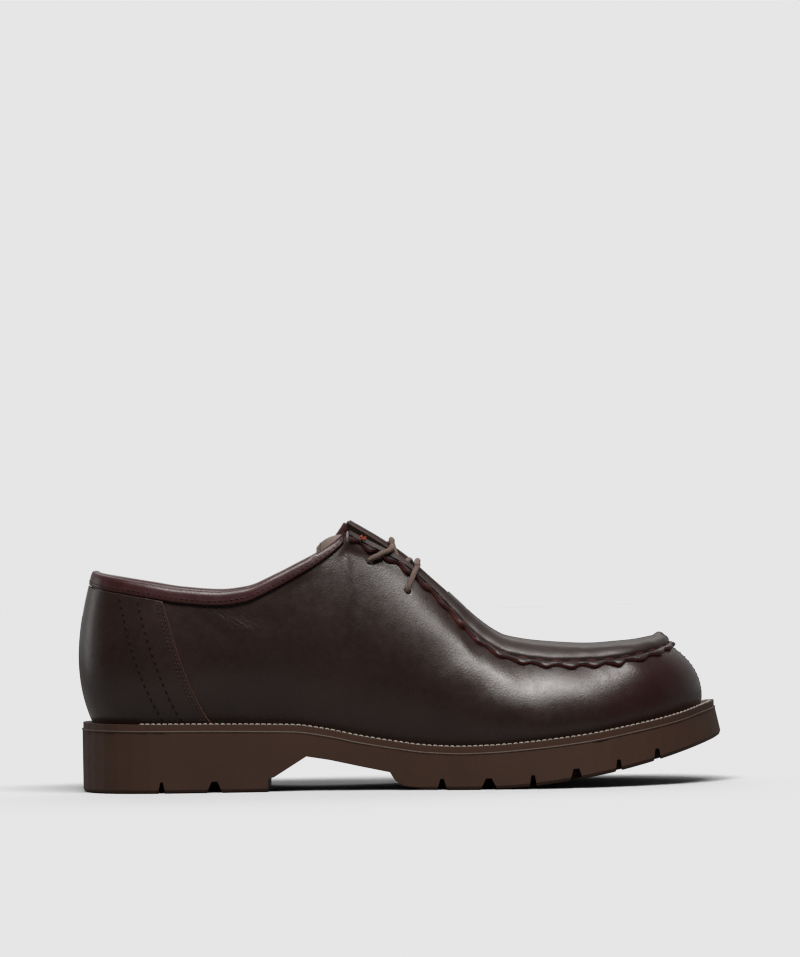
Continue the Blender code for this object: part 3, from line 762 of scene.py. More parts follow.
def build_apron(materials):
    sheet = Sheet()
    turns, toe = apron_turns()
    rng = random.Random(PINK_SEED)
    swells = [rng.uniform(*PINK_SWELL) for _ in range(len(turns) // PINK_SAMPLES + 2)]
    columns = []
    for i, turn in enumerate(turns):
        wave = math.cos(2 * math.pi * i / PINK_SAMPLES)
        rows = apron_rows(turn, wave, swells[(i + PINK_SAMPLES // 2) // PINK_SAMPLES])
        columns.append([sheet.add(side(turn, share_below(turn, low)), lift) for low, lift in rows])
    for first, second in zip(columns, columns[1:]):
        sheet.strip(second, first)
    throat = min(range(toe), key=lambda i: abs(abs(turns[i]) - turn_at(THROAT))) + APRON_SKIP
    tip = topline(1.0)[0]
    rows = []
    for i in range(throat, toe):
        turn = abs(turns[i])
        full = apron_sizes(turn)[2] * BAND_LIFTS[-1]
        width = np.linalg.norm(topline(turn) - topline(-turn))
        row = [columns[i][-1]]
        for k in range(1, APRON_COLUMNS):
            across = (1 - math.cos(math.pi * k / APRON_COLUMNS)) / 2
            point = plug(turn, across)
            inside = min(width * min(across, 1 - across), tip - point[0])
            row.append(sheet.add(point, full * math.exp(-((inside / BEAD) ** 2))))
        rows.append(row + [columns[2 * toe - i][-1]])
    rows.append([columns[toe][-1]] * (APRON_COLUMNS + 1))
    for first, second in zip(rows, rows[1:]):
        sheet.strip(second, first)
    plain = {index for column in columns for index in column[-2:]}
    plain.update(index for row in rows for index in row)
    apron = sheet.solid("apron_leather", GAP, GAP + APRON_THICK, materials, plain)
    rounded(apron, TRIM_ROUND)
    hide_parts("apron")


# Heel counter
COUNTER_STEPS = 150
COUNTER_ROWS = 30


def on_counter(hand, line, share):
    """Turn and height of a point on a line of the counter that leads up from the welt."""
    foot, top = line
    turn = hand * turn_at(foot + (top - foot) * share**COUNTER_SWEEP)
    highest = share_below(turn, BINDING_WIDTH + 2 * GAP)
    return turn, COUNTER_START + (highest - COUNTER_START) * share


def build_counter(materials):
    sheet = Sheet()
    columns = []
    for i in range(COUNTER_STEPS + 1):
        hand = 2 * i / COUNTER_STEPS - 1
        places = [on_counter(hand, COUNTER_EDGE, row / COUNTER_ROWS) for row in range(COUNTER_ROWS + 1)]
        columns.append([sheet.add(side(*place)) for place in places])
    for first, second in zip(columns, columns[1:]):
        sheet.strip(first, second)
    counter = sheet.solid("heel_counter_leather", COUNTER_GAP, COUNTER_GAP + COUNTER_THICK, materials)
    rounded(counter, TRIM_ROUND)
    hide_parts("heel_counter")


# Collar binding: shares of its outer width and of its thickness, shares of its inner
# width, and angles over its crest in half turns
BINDING_STEPS = 300
BINDING_LEGS = ((1.0, 0.35), (0.97, 0.75), (0.9, 0.98), (0.7, 1.0), (0.5, 1.02), (0.3, 1.0), (0.12, 1.0))
BINDING_INNER_LEGS = (0.11, 0.4, 0.9)
CREST_ANGLES = (0.15, 0.35, 0.5, 0.65, 0.85)
CREST_LOW = 0.3
CREST_HIGH = 0.7
BINDING_PUCKER = 0.06
BINDING_SEED = 5
PUCKER_SPAN = 7
PUCKER_WEIGHT = 1 / 3
BINDING_END = turn_at(CORNER) - BINDING_STOP


def binding_width(turn):
    """Width of the binding's outer leg, narrower towards the facings."""
    share = (abs(turn) / BINDING_END) ** BINDING_TAPER
    return BINDING_WIDTH + (BINDING_WIDTH_FRONT - BINDING_WIDTH) * share


def build_binding(material):
    rng = random.Random(BINDING_SEED)
    draws = [rng.uniform(-1, 1) for _ in range(BINDING_STEPS + PUCKER_SPAN)]
    swell = np.convolve(draws, np.full(PUCKER_SPAN, PUCKER_WEIGHT), "valid")
    inner = WALL / 2 + BINDING_GAP
    outer = inner + BINDING_THICK
    points, faces = [], []
    for i, turn in enumerate(spaced(-BINDING_END, BINDING_END, BINDING_STEPS)):
        width = binding_width(turn)
        thick = BINDING_THICK * (1 + BINDING_PUCKER * swell[i])
        near, far = [], []
        for leg, full in BINDING_LEGS:
            point, out, up = leather_frame(turn, share_below(turn, width * leg))
            near.append(point + out * BINDING_GAP)
            far.append(point + out * (BINDING_GAP + thick * full))
        point, out, up = leather_frame(turn, 1.0)
        middle = point - out * WALL / 2 + up * CREST_SLACK * CREST_LOW
        for angle in CREST_ANGLES:
            lean, rise = math.cos(math.pi * angle), math.sin(math.pi * angle)
            near.append(middle + out * lean * inner + up * rise * CREST_SLACK * CREST_HIGH)
            far.append(middle + out * lean * outer + up * rise * (CREST_SLACK * CREST_HIGH + BINDING_THICK))
        for leg in BINDING_INNER_LEGS:
            point, out, up = leather_frame(turn, share_below(turn, BINDING_INSIDE * leg))
            near.append(point - out * (WALL + BINDING_GAP))
            far.append(point - out * (WALL + BINDING_GAP + BINDING_THICK))
        points += far + near[::-1]
    count = len(far) + len(near)
    for i in range(BINDING_STEPS):
        faces += belt(i * count, count)
    for k in range(len(far) - 1):
        first = (k, count - 1 - k, count - 2 - k, k + 1)
        faces.append(first)
        faces.append(tuple(BINDING_STEPS * count + corner for corner in reversed(first)))
    binding = piece("collar_binding_leather", points, faces, [material])
    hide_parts("collar_binding")


# Tongue
TONGUE_STEPS = 60
TONGUE_COLUMNS = 28
THROAT_STEPS = 20


@functools.cache
def throat_turns():
    """Places of the facing edges and of the turns that they belong to."""
    turns = spaced(turn_at(CORNER), turn_at(THROAT + TONGUE_PAST), THROAT_STEPS)
    return [topline(turn)[0] for turn in turns], turns


def tongue_top(x, share):
    """Top of the tongue, from its outer edge at -1 to its inner edge at 1."""
    places, turns = throat_turns()
    turn = float(np.interp(x, places, turns))
    outer, inner = topline(-turn), topline(turn)
    middle, width = (outer + inner) / 2, inner[1] - outer[1]
    tilt = (inner[2] - outer[2]) / width
    behind = max(0.0, places[0] - x)
    tip = behind / TONGUE_REACH
    tuck = TONGUE_TUCK * min(max((places[0] + TONGUE_TUCK * 2 - x) / (TONGUE_TUCK * 2), 0.0), 1.0)
    rounding = max(0.0, 1 - (TONGUE_FULL * tip) ** TONGUE_ROUND)
    half = (width / 2 + TONGUE_WIDER - tuck) * math.sqrt(rounding)
    z = middle[2] - TONGUE_DEPTH + tilt * half * share
    z -= TONGUE_ARCH * share**2 + TONGUE_BEND * behind * tip + TONGUE_DROOP * tip**4
    return np.array((x, middle[1] + half * share, z))


def on_tongue(x, share, lift):
    """Point above the tongue, square to its top, and the way out there."""
    ahead = tongue_top(x + STEP, share) - tongue_top(x - STEP, share)
    across = tongue_top(x, share + STEP) - tongue_top(x, share - STEP)
    out = np.cross(ahead, across)
    out /= np.linalg.norm(out)
    return tongue_top(x, share) + out * lift, out


def tongue_ends():
    """Where the tongue starts behind the facings and ends under the plug."""
    start = throat_turns()[0][0] - TONGUE_REACH
    return start, topline(turn_at(THROAT))[0] + TONGUE_UNDER_PLUG


def build_tongue(materials):
    sheet = Sheet()
    shares = spaced(-1.0, 1.0, TONGUE_COLUMNS)
    rows = []
    for x in spaced(*tongue_ends(), TONGUE_STEPS):
        rows.append([sheet.add(tongue_top(x, share)) for share in shares])
    for first, second in zip(rows, rows[1:]):
        sheet.strip(second, first)
    tongue = sheet.solid("tongue_leather_piece", -TONGUE_THICK, 0.0, materials)
    rounded(tongue, EDGE_ROUND)
    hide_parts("tongue")


# Thread: corners and rings of a stitch, how blunt its tips are, and how deep they sink,
# as a share of its radius
THREAD_SIDES = 6
THREAD_RINGS = 7
THREAD_TIP = 0.08
THREAD_SINK = 0.6
BOW = np.linspace(-1.0, 1.0, THREAD_RINGS)

# Stitch rows: pitch, length of a stitch, radius of its thread, and lift off the leather
BINDING_STITCH = (0.0026, 0.0018, 0.00024, 0.0)
APRON_STITCH = (0.0082, 0.0056, 0.00055, 0.0001)
FINE_STITCH = (0.0021, 0.0015, 0.00024, 0.0)
COARSE_STITCH = (0.0036, 0.0026, 0.00046, -0.00012)
WELT_STITCH = (0.0027, 0.0023, 0.00036, 0.0001)
TONGUE_STITCH = (0.0026, 0.0018, 0.00022, 0.0)

# Routes of the rows: distances from an edge, where they start and stop, and their steps
BINDING_STITCH_INSET = 0.0019
BINDING_STITCH_STEPS = 240
COUNTER_STITCH_SPAN = (0.02, 0.985)
COUNTER_STITCH_STEPS = 60
WELT_STITCH_START = 0.09
WELT_STITCH_END = 0.998
WELT_STITCH_INSET = 0.0020
WELT_STITCH_STEPS = 250
TONGUE_STITCH_INSET = 0.0020
TONGUE_STITCH_SHARE = 0.86
TONGUE_STITCH_STEPS = 60
TONGUE_END_STEPS = 20

# Stitches over the toe's seam
TOE_STITCH_DEPTHS = (0.033, 0.0085)
TOE_STITCH_PITCH = 0.0024
TOE_STITCH_HALF = 0.0016
TOE_STITCH_SINK = 0.00015
TOE_STITCH_RADIUS = 0.00038


def resampled(points, outs, distances):
    """Places and ways out at distances along a route."""
    lengths = lengths_along(points)
    return [
        np.stack([np.interp(distances, lengths, values[:, k]) for k in range(3)], axis=-1)
        for values in (np.array(points), np.array(outs))
    ]


def thread(centres, outs, radius, corners, faces):
    """Add one stitch, a rounded bar through its centres, to a mesh."""
    start = len(corners)
    for i, (centre, out) in enumerate(zip(centres, outs)):
        run = centres[min(i + 1, len(centres) - 1)] - centres[max(i - 1, 0)]
        across = np.cross(run, out)
        across /= np.linalg.norm(across)
        rise = np.cross(across, run)
        rise /= np.linalg.norm(rise)
        way = 2 * i / (len(centres) - 1) - 1
        girth = radius * max(1 - abs(way) ** 3, THREAD_TIP) ** 0.5
        corners += ring(centre, across, rise, girth, THREAD_SIDES)
    last = len(corners) - THREAD_SIDES
    for first in range(start, last, THREAD_SIDES):
        faces += belt(first, THREAD_SIDES)
    faces.append(cap(start, THREAD_SIDES)[::-1])
    faces.append(cap(last, THREAD_SIDES))


def stitches(name, routes, size, material):
    """A row of stitches along each route, given as pairs of a point and the way out."""
    pitch, length, radius, lift = size
    corners, faces = [], []
    for route in routes:
        points, outs = zip(*route)
        total = lengths_along(points)[-1]
        count = max(1, round(total / pitch))
        for i in range(count):
            middle = (i + 0.5) * total / count
            centres, ways = resampled(points, outs, middle + BOW * length / 2)
            rises = (lift + radius) * (1 - BOW**4) - radius * THREAD_SINK
            thread(centres + ways * rises[:, None], ways, radius, corners, faces)
    row = piece(name, corners, faces, [material], sharp=NEVER_SHARP)


def on_leather(turn, share, lift):
    """Point above the side's leather, and the way out there."""
    point, out, _ = leather_frame(turn, share)
    return point + out * lift, out


def stitch_binding(material):
    turns = spaced(-BINDING_END, BINDING_END, BINDING_STITCH_STEPS)
    lift = BINDING_GAP + BINDING_THICK
    route = [on_leather(t, share_below(t, binding_width(t) - BINDING_STITCH_INSET), lift) for t in turns]
    stitches("binding_stitches", [route], BINDING_STITCH, material)


def stitch_apron(material):
    lift = GAP + APRON_THICK - STITCH_DIP
    route = [on_leather(t, share_below(t, apron_sizes(t)[0]), lift) for t in apron_turns()[0]]
    stitches("apron_stitches", [route], APRON_STITCH, material)


def counter_routes(lines):
    """Routes along lines of the heel counter, on both sides of the shoe."""
    lift = COUNTER_GAP + COUNTER_THICK
    shares = spaced(*COUNTER_STITCH_SPAN, COUNTER_STITCH_STEPS)
    hands = [(line, hand) for line in lines for hand in (-1, 1)]
    return [[on_leather(*on_counter(hand, line, share), lift) for share in shares] for line, hand in hands]


def stitch_welt(material):
    routes = []
    for hand in (-1, 1):
        turns = spaced(hand * turn_at(WELT_STITCH_START), hand * WELT_STITCH_END, WELT_STITCH_STEPS)
        routes.append([(on_welt(turn, WELT_STEP + WELT_STITCH_INSET), UP) for turn in turns])
    stitches("welt_stitches", routes, WELT_STITCH, material)


def stitch_tongue(material):
    start, end = tongue_ends()
    start += TONGUE_STITCH_INSET
    edge = TONGUE_STITCH_SHARE
    places = spaced(start, end, TONGUE_STITCH_STEPS)
    routes = [[on_tongue(x, hand * edge, 0.0) for x in places] for hand in (-1, 1)]
    routes.append([on_tongue(start, share, 0.0) for share in spaced(-edge, edge, TONGUE_END_STEPS)])
    stitches("tongue_stitches", routes, TONGUE_STITCH, material)


def stitch_toe(material):
    """Stitches across the seam down the middle of the toe."""
    corners, faces = [], []
    lowest, highest = (share_below(1.0, depth) for depth in TOE_STITCH_DEPTHS)
    length = np.linalg.norm(side(1.0, highest) - side(1.0, lowest))
    for share in spaced(lowest, highest, round(length / TOE_STITCH_PITCH)):
        point, out, up = leather_frame(1.0, share)
        across = np.cross(up, out)
        centres = [point + across * b * TOE_STITCH_HALF - out * TOE_STITCH_SINK * (1 + b**4) for b in BOW]
        thread(centres, [out] * len(BOW), TOE_STITCH_RADIUS, corners, faces)
    row = piece("toe_stitches", corners, faces, [material], sharp=NEVER_SHARP)


# Lace: places on its way from an eyelet to the facing's edge, as shares of the distance
# left and of the apron's thickness, then over the edge, outward and upward in radii
LACE_RISE = ((0.72, 0.3), (0.42, 1.0), (0.16, 1.0))
LACE_CREST = ((0.94, 0.34), (0.42, 0.72))

# Crossing strands: place across the tongue, and share of the way to UNDER_FACING
CROSSING_PATH = ((0.55, 0.30), (0.0, 0.62), (-0.62, 1.0))

# Start behind an eyelet, hop of one crossing strand over the other, and the place across
# the tongue where a strand passes under the facing
LACE_INSIDE = 0.0016
LACE_DROP = 0.6
LACE_WALL = 0.6
LACE_EMERGE = 0.5
LACE_HOP = 2.2
LACE_UNDER = 0.95
SPLINE_STEP = 0.05
CORD_SIDES = 14
CORD_STEP = 0.0007
CORD_ENDS = (0.55, 0.88)
BRAID_PITCH = 0.0050


def over_facing(hand, eyelet, crossing):
    """Lace from an eyelet up over the facing's edge, which it crosses further forward."""
    place, distance = EYELETS[eyelet]
    radius = LACE_DIAMETER / 2
    turn = hand * turn_at(place)
    hole, out, up = leather_frame(turn, share_below(turn, distance))
    points = [
        hole - out * (WALL + radius + LACE_INSIDE) - up * radius * LACE_DROP,
        hole - out * WALL * LACE_WALL,
        hole + out * radius * LACE_EMERGE + up * radius * LACE_EMERGE,
    ]
    for share, lift in LACE_RISE:
        turn = hand * turn_at(place + (crossing - place) * (1 - share))
        lift = radius + 2 * GAP + APRON_THICK * lift
        points.append(on_leather(turn, share_below(turn, distance * share), lift)[0])
    point, out, up = leather_frame(hand * turn_at(crossing), 1.0)
    for aside, above in LACE_CREST:
        points.append(point + (out * aside + up * above) * (radius + 2 * GAP + APRON_THICK))
    return points


def smooth_path(points, step):
    """Points a step apart along a smooth curve through a few points."""
    knots = [points[0]] + list(points) + [points[-1]]
    curve = []
    for a, b, c, d in zip(knots, knots[1:], knots[2:], knots[3:]):
        bend = 2 * a - 5 * b + 4 * c - d
        turn = 3 * b - a - 3 * c + d
        for t in np.arange(0.0, 1.0, SPLINE_STEP):
            curve.append(0.5 * (2 * b + (c - a) * t + bend * t**2 + turn * t**3))
    curve = np.array(curve + [points[-1]])
    lengths = lengths_along(curve)
    places = np.linspace(0.0, lengths[-1], max(2, round(lengths[-1] / step)))
    return np.stack([np.interp(places, lengths, curve[:, k]) for k in range(3)], axis=-1)


def tube(name, paths, radius, material):
    """Round cord along each path, with a UV map that runs round it and along it."""
    corners, faces, marks = [], [], []
    for path in paths:
        start = len(corners)
        run = path[1] - path[0]
        across = np.cross(run, UP)
        for i, point in enumerate(path):
            run = path[min(i + 1, len(path) - 1)] - path[max(i - 1, 0)]
            run /= np.linalg.norm(run)
            across = across - run * (across @ run)
            across /= np.linalg.norm(across)
            end = min(i, len(path) - 1 - i)
            girth = radius * (CORD_ENDS[end] if end < len(CORD_ENDS) else 1.0)
            corners += ring(point, across, np.cross(across, run), girth, CORD_SIDES)
        for i in range(len(path) - 1):
            low, high = i * CORD_STEP / BRAID_PITCH, (i + 1) * CORD_STEP / BRAID_PITCH
            for k, (a, b, c, d) in enumerate(belt(start + i * CORD_SIDES, CORD_SIDES)):
                faces.append((a, d, c, b))
                left, right = k / CORD_SIDES, (k + 1) / CORD_SIDES
                marks += [(left, low), (left, high), (right, high), (right, low)]
        faces.append(cap(start, CORD_SIDES))
        faces.append(cap(len(corners) - CORD_SIDES, CORD_SIDES)[::-1])
        marks += [(0.0, 0.0)] * (2 * CORD_SIDES)
    cord = piece(name, corners, faces, [material], sharp=NEVER_SHARP)
    layer = cord.data.uv_layers.new(name="UVMap")
    layer.data.foreach_set("uv", [value for mark in marks for value in mark])
    return cord


def build_lace(material):
    """One lace: it crosses from the upper eyelets, dives under the facings and comes out
    of the lower eyelets as a bar."""
    radius = LACE_DIAMETER / 2
    lower = {hand: over_facing(hand, 1, LOWER_CROSSING) for hand in (-1, 1)}
    strands = {}
    for hand, over in ((-1, LACE_HOP), (1, 0.0)):
        strand = over_facing(hand, 0, UPPER_CROSSING)
        edge = strand[-1][0]
        for share, ahead in CROSSING_PATH:
            lift = radius + 2 * GAP + (over * radius if share == 0.0 else 0.0)
            strand.append(on_tongue(edge + (UNDER_FACING - edge) * ahead, hand * share, lift)[0])
        x = (UNDER_FACING + lower[-hand][0][0]) / 2
        strands[hand] = strand + [on_tongue(x, -hand * LACE_UNDER, radius + GAP)[0]]
    route = strands[-1] + lower[1] + lower[-1][::-1] + strands[1][::-1]
    lace = tube("lace", [smooth_path(route, CORD_STEP)], radius, material)
    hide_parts("lace_bar", "lace_cross")


# Loose ends of the hand thread: place and depth below the edge, then sizes in metres
TUFT_PLACE = 0.475
TUFT_DEPTH = 0.0012
TUFT_HAIRS = 7
TUFT_SEED = 3
HAIR_RADIUS = 0.00022
HAIR_STEP = 0.0004
HAIR_REACH = 0.0012
HAIR_SPREAD = 0.0014
HAIR_LIFT = (0.0004, 0.0012)
HAIR_LOWEST = (-0.3, -0.5)


def build_tuft(material):
    """Loose ends of the hand thread beside the outer facing's edge."""
    rng = random.Random(TUFT_SEED)
    turn = -turn_at(TUFT_PLACE)
    point, out, up = leather_frame(turn, share_below(turn, TUFT_DEPTH))
    run = np.cross(up, out)
    base = point + out * (GAP + APRON_THICK)
    paths = []
    for _ in range(TUFT_HAIRS):
        lean = run * rng.uniform(-1, 1) + up * rng.uniform(HAIR_LOWEST[0], 1.0)
        middle = base + lean * HAIR_REACH + out * rng.uniform(*HAIR_LIFT)
        aside = run * rng.uniform(-1, 1) * HAIR_SPREAD
        end = middle + aside + up * rng.uniform(HAIR_LOWEST[1], 1.0) * HAIR_REACH
        paths.append(smooth_path([base, middle, end], HAIR_STEP))
    tube("thread_ends", paths, HAIR_RADIUS, material)


# Ledge under the welt
LEDGE_RADIUS = 0.00042
LEDGE_SINK = 0.4
LEDGE_STEPS = 360


def build_ledge(material):
    """Fine ledge of rubber in the joint under the welt."""
    drop = UP * (WELT_THICK + GAP / 2)
    path = [on_welt(turn, LEDGE_RADIUS * LEDGE_SINK) - drop for turn in spaced(-1.0, 1.0, LEDGE_STEPS)]
    tube("welt_ledge", [np.array(path)], LEDGE_RADIUS, material)


# Colours: darker and lighter tone of each material
COLOURS = {
    "dark leather": ((0.0195, 0.0098, 0.0080), (0.0255, 0.0130, 0.0106)),
    "apron leather": ((0.0205, 0.0105, 0.0088), (0.0275, 0.0142, 0.0118)),
    "binding leather": ((0.036, 0.0088, 0.0088), (0.048, 0.0120, 0.0120)),
    "tongue leather": ((0.130, 0.092, 0.076), (0.165, 0.120, 0.100)),
    "lining leather": ((0.030, 0.019, 0.015), (0.040, 0.026, 0.020)),
    "burgundy edge": ((0.130, 0.022, 0.022), (0.220, 0.046, 0.042)),
    "reddish edge": ((0.120, 0.042, 0.026), (0.190, 0.078, 0.050)),
    "dark edge": ((0.030, 0.012, 0.010), (0.050, 0.020, 0.016)),
    "sole rubber": ((0.053, 0.0255, 0.0155), (0.063, 0.0310, 0.0190)),
    "welt rubber": ((0.057, 0.0280, 0.0175), (0.069, 0.0345, 0.0215)),
    # Ledge: rubber in a lighter tone than the sole's, a painted highlight along the ledge
    "ledge rubber painted highlight": ((0.075, 0.048, 0.036), (0.095, 0.062, 0.048)),
    "fine thread": ((0.020, 0.0095, 0.0075), (0.070, 0.038, 0.030)),
    "hand thread": ((0.040, 0.0115, 0.010), (0.075, 0.022, 0.018)),
    "dark thread": ((0.006, 0.0034, 0.0026), (0.015, 0.0088, 0.0068)),
    "welt thread": ((0.34, 0.30, 0.26), (0.58, 0.53, 0.47)),
    "thread ends": ((0.38, 0.060, 0.022), (0.55, 0.11, 0.045)),
    # Lace braid: its darker tone is painted shade in the grooves between the strands
    "lace braid and painted groove shade": ((0.080, 0.050, 0.037), (0.195, 0.130, 0.100)),
}
TOE_RED = (0.0260, 0.0085, 0.0080)
TOE_RED_SPAN = (0.070, 0.125)

# Wrinkles in the quarter, below the lowest part of the collar: middle, slant, reach as
# shares per metre, spacing in lines per metre, and where they fade
WRINKLE_CENTRE = (-0.0765, 0.0, 0.0800)
WRINKLE_SLANT = math.radians(38)
WRINKLE_REACH = (42.0, 0.0, 110.0)
WRINKLE_LINES = (220.0, 20.0, 1100.0)
WRINKLE_FADE = (0.4, 1.0)

# Waves of the lace's braid, along a pitch and round the cord
BRAID_ALONG = 4
BRAID_ROUND = 5

# Sockets of a Mix node for colours
MIX_FIRST = 6
MIX_SECOND = 7
MIX_RESULT = 2


def new_material(name):
    material = bpy.data.materials.new(name)
    material.use_nodes = True
    tree = material.node_tree
    return material, tree, tree.nodes["Principled BSDF"]


def link(tree, source, output, target, socket):
    tree.links.new(source.outputs[output], target.inputs[socket])


def noise(tree, scale, detail):
    """Noise in the shoe's own space, in cycles per metre."""
    place = tree.nodes.new("ShaderNodeTexCoord")
    texture = tree.nodes.new("ShaderNodeTexNoise")
    texture.inputs["Scale"].default_value = scale
    texture.inputs["Detail"].default_value = detail
    link(tree, place, "Object", texture, "Vector")
    return texture


def pores(tree, scale):
    """Fine pebbled grain."""
    place = tree.nodes.new("ShaderNodeTexCoord")
    cells = tree.nodes.new("ShaderNodeTexVoronoi")
    cells.feature = "SMOOTH_F1"
    cells.inputs["Scale"].default_value = scale
    link(tree, place, "Object", cells, "Vector")
    return cells


def split_axes(tree, space):
    """The numbers of a place in one of its spaces."""
    place = tree.nodes.new("ShaderNodeTexCoord")
    split = tree.nodes.new("ShaderNodeSeparateXYZ")
    link(tree, place, space, split, "Vector")
    return split


def stretched(tree, source, scale):
    mapping = tree.nodes.new("ShaderNodeMapping")
    mapping.inputs["Scale"].default_value = scale
    link(tree, source, "Vector", mapping, "Vector")
    return mapping


def compute(tree, operation, *values):
    """Math node; a value is a number, or a node and the name of its output."""
    node = tree.nodes.new("ShaderNodeMath")
    node.operation = operation
    for socket, value in enumerate(values):
        if isinstance(value, tuple):
            link(tree, *value, node, socket)
        else:
            node.inputs[socket].default_value = value
    return node


def ramp(tree, source, output, span, first=0.0, last=1.0):
    """Map a value in a span to one between two limits."""
    node = tree.nodes.new("ShaderNodeMapRange")
    node.inputs["From Min"].default_value = span[0]
    node.inputs["From Max"].default_value = span[1]
    node.inputs["To Min"].default_value = first
    node.inputs["To Max"].default_value = last
    link(tree, source, output, node, "Value")
    return node


def blend_colours(tree, factor, first, second):
    """Colour between two, by a node's result; each may be a colour or a Mix node."""
    node = tree.nodes.new("ShaderNodeMix")
    node.data_type = "RGBA"
    link(tree, factor, "Result", node, "Factor")
    for socket, colour in ((MIX_FIRST, first), (MIX_SECOND, second)):
        if isinstance(colour, tuple):
            node.inputs[socket].default_value = (*colour, 1.0)
        else:
            link(tree, colour, MIX_RESULT, node, socket)
    return node


def two_tones(tree, name, source, output="Fac", span=(0.3, 0.7)):
    """Mix of a material's darker and lighter tone, by a node's output."""
    return blend_colours(tree, ramp(tree, source, output, span), *COLOURS[name])


def set_values(shader, **values):
    for name, value in values.items():
        shader.inputs[name.replace("_", " ")].default_value = value


def bump(tree, shader, layers):
    """Chain of bumps: height node, its output, strength and depth in metres."""
    before = None
    for source, output, strength, depth in layers:
        node = tree.nodes.new("ShaderNodeBump")
        node.inputs["Strength"].default_value = strength
        node.inputs["Distance"].default_value = depth
        link(tree, source, output, node, "Height")
        if before:
            link(tree, before, "Normal", node, "Normal")
        before = node
    link(tree, before, "Normal", shader, "Normal")


def wrinkles(tree):
    """Fine slanting wrinkles in the quarter."""
    place = tree.nodes.new("ShaderNodeTexCoord")
    turned = tree.nodes.new("ShaderNodeMapping")
    turned.inputs["Location"].default_value = WRINKLE_CENTRE
    turned.inputs["Rotation"].default_value = (0.0, WRINKLE_SLANT, 0.0)
    turned.vector_type = "TEXTURE"
    link(tree, place, "Object", turned, "Vector")
    lines = tree.nodes.new("ShaderNodeTexNoise")
    lines.inputs["Scale"].default_value = 1.0
    link(tree, stretched(tree, turned, WRINKLE_LINES), "Vector", lines, "Vector")
    distance = tree.nodes.new("ShaderNodeVectorMath")
    distance.operation = "LENGTH"
    link(tree, stretched(tree, turned, WRINKLE_REACH), "Vector", distance, 0)
    fade = ramp(tree, distance, "Value", WRINKLE_FADE, 1.0, 0.0)
    return compute(tree, "MULTIPLY", (lines, "Fac"), (fade, "Result"))


def leather(name, roughness, grain, coat=0.0, red_toe=False, worn=False):
    """Smooth leather: two close tones, pores, soft waves and a thin coat."""
    material, tree, shader = new_material(name)
    colour = two_tones(tree, name, noise(tree, scale=45.0, detail=4.0), span=(0.35, 0.65))
    if red_toe:
        ahead = ramp(tree, split_axes(tree, "Object"), "X", TOE_RED_SPAN)
        colour = blend_colours(tree, ahead, colour, TOE_RED)
    link(tree, colour, MIX_RESULT, shader, "Base Color")
    smear = noise(tree, scale=260.0, detail=3.0)
    gloss = ramp(tree, smear, "Fac", (0.3, 0.7), roughness - 0.04, roughness + 0.05)
    link(tree, gloss, "Result", shader, "Roughness")
    set_values(shader, Specular_IOR_Level=0.5, Coat_Weight=coat, Coat_Roughness=0.32)
    layers = [
        (noise(tree, scale=70.0, detail=2.0), "Fac", 0.15, 0.0005),
        (pores(tree, scale=1700.0), "Distance", 0.33 * grain, 0.00014),
        (noise(tree, scale=2400.0, detail=3.0), "Fac", 0.40 * grain, 0.00011),
    ]
    if worn:
        layers.append((wrinkles(tree), "Value", 0.6, 0.00045))
    bump(tree, shader, layers)
    return material


def raw_edge(name):
    """Cut edge of leather, with fibres along it."""
    material, tree, shader = new_material(name)
    colour = two_tones(tree, name, noise(tree, scale=700.0, detail=4.0))
    link(tree, colour, MIX_RESULT, shader, "Base Color")
    set_values(shader, Roughness=0.6)
    bump(tree, shader, [(noise(tree, scale=3000.0, detail=2.0), "Fac", 0.5, 0.00015)])
    return material


def rubber(name, roughness):
    """Moulded rubber: matte, with a fine skin and faint mottling."""
    material, tree, shader = new_material(name)
    colour = two_tones(tree, name, noise(tree, scale=30.0, detail=5.0))
    link(tree, colour, MIX_RESULT, shader, "Base Color")
    smear = noise(tree, scale=400.0, detail=2.0)
    gloss = ramp(tree, smear, "Fac", (0.3, 0.7), roughness - 0.05, roughness + 0.05)
    link(tree, gloss, "Result", shader, "Roughness")
    set_values(shader, Specular_IOR_Level=0.35)
    layers = [
        (noise(tree, scale=2200.0, detail=3.0), "Fac", 0.35, 0.00008),
        (noise(tree, scale=120.0, detail=2.0), "Fac", 0.15, 0.0004),
    ]
    bump(tree, shader, layers)
    return material


def twisted_thread(name, roughness=0.6):
    material, tree, shader = new_material(name)
    colour = two_tones(tree, name, noise(tree, scale=1200.0, detail=2.0), span=(0.35, 0.65))
    link(tree, colour, MIX_RESULT, shader, "Base Color")
    set_values(shader, Roughness=roughness, Specular_IOR_Level=0.15, Sheen_Weight=0.03)
    bump(tree, shader, [(noise(tree, scale=4000.0, detail=2.0), "Fac", 0.5, 0.0001)])
    return material


def braided_cord(name):
    """Round braid: strands that cross in both directions round the cord, darker between the strands as
    painted shade.
    """
    material, tree, shader = new_material(name)
    split = split_axes(tree, "UV")
    waves = []
    for hand in (-1.0, 1.0):
        along = compute(tree, "MULTIPLY", (split, "Y"), 2 * math.pi * BRAID_ALONG * hand)
        around = compute(tree, "MULTIPLY_ADD", (split, "X"), 2 * math.pi * BRAID_ROUND, (along, "Value"))
        waves.append((compute(tree, "SINE", (around, "Value")), "Value"))
    weave_and_groove_shade = compute(tree, "MAXIMUM", *waves)
    # Painted shade: the darker tone follows the weave's low places between the strands
    colour = two_tones(tree, name, weave_and_groove_shade, "Value", span=(-0.6, 1.0))
    link(tree, colour, MIX_RESULT, shader, "Base Color")
    set_values(shader, Roughness=0.85, Sheen_Weight=0.2)
    layers = [
        (weave_and_groove_shade, "Value", 0.7, 0.00020),
        (noise(tree, scale=5000.0, detail=2.0), "Fac", 0.4, 0.0001),
    ]
    bump(tree, shader, layers)
    return material


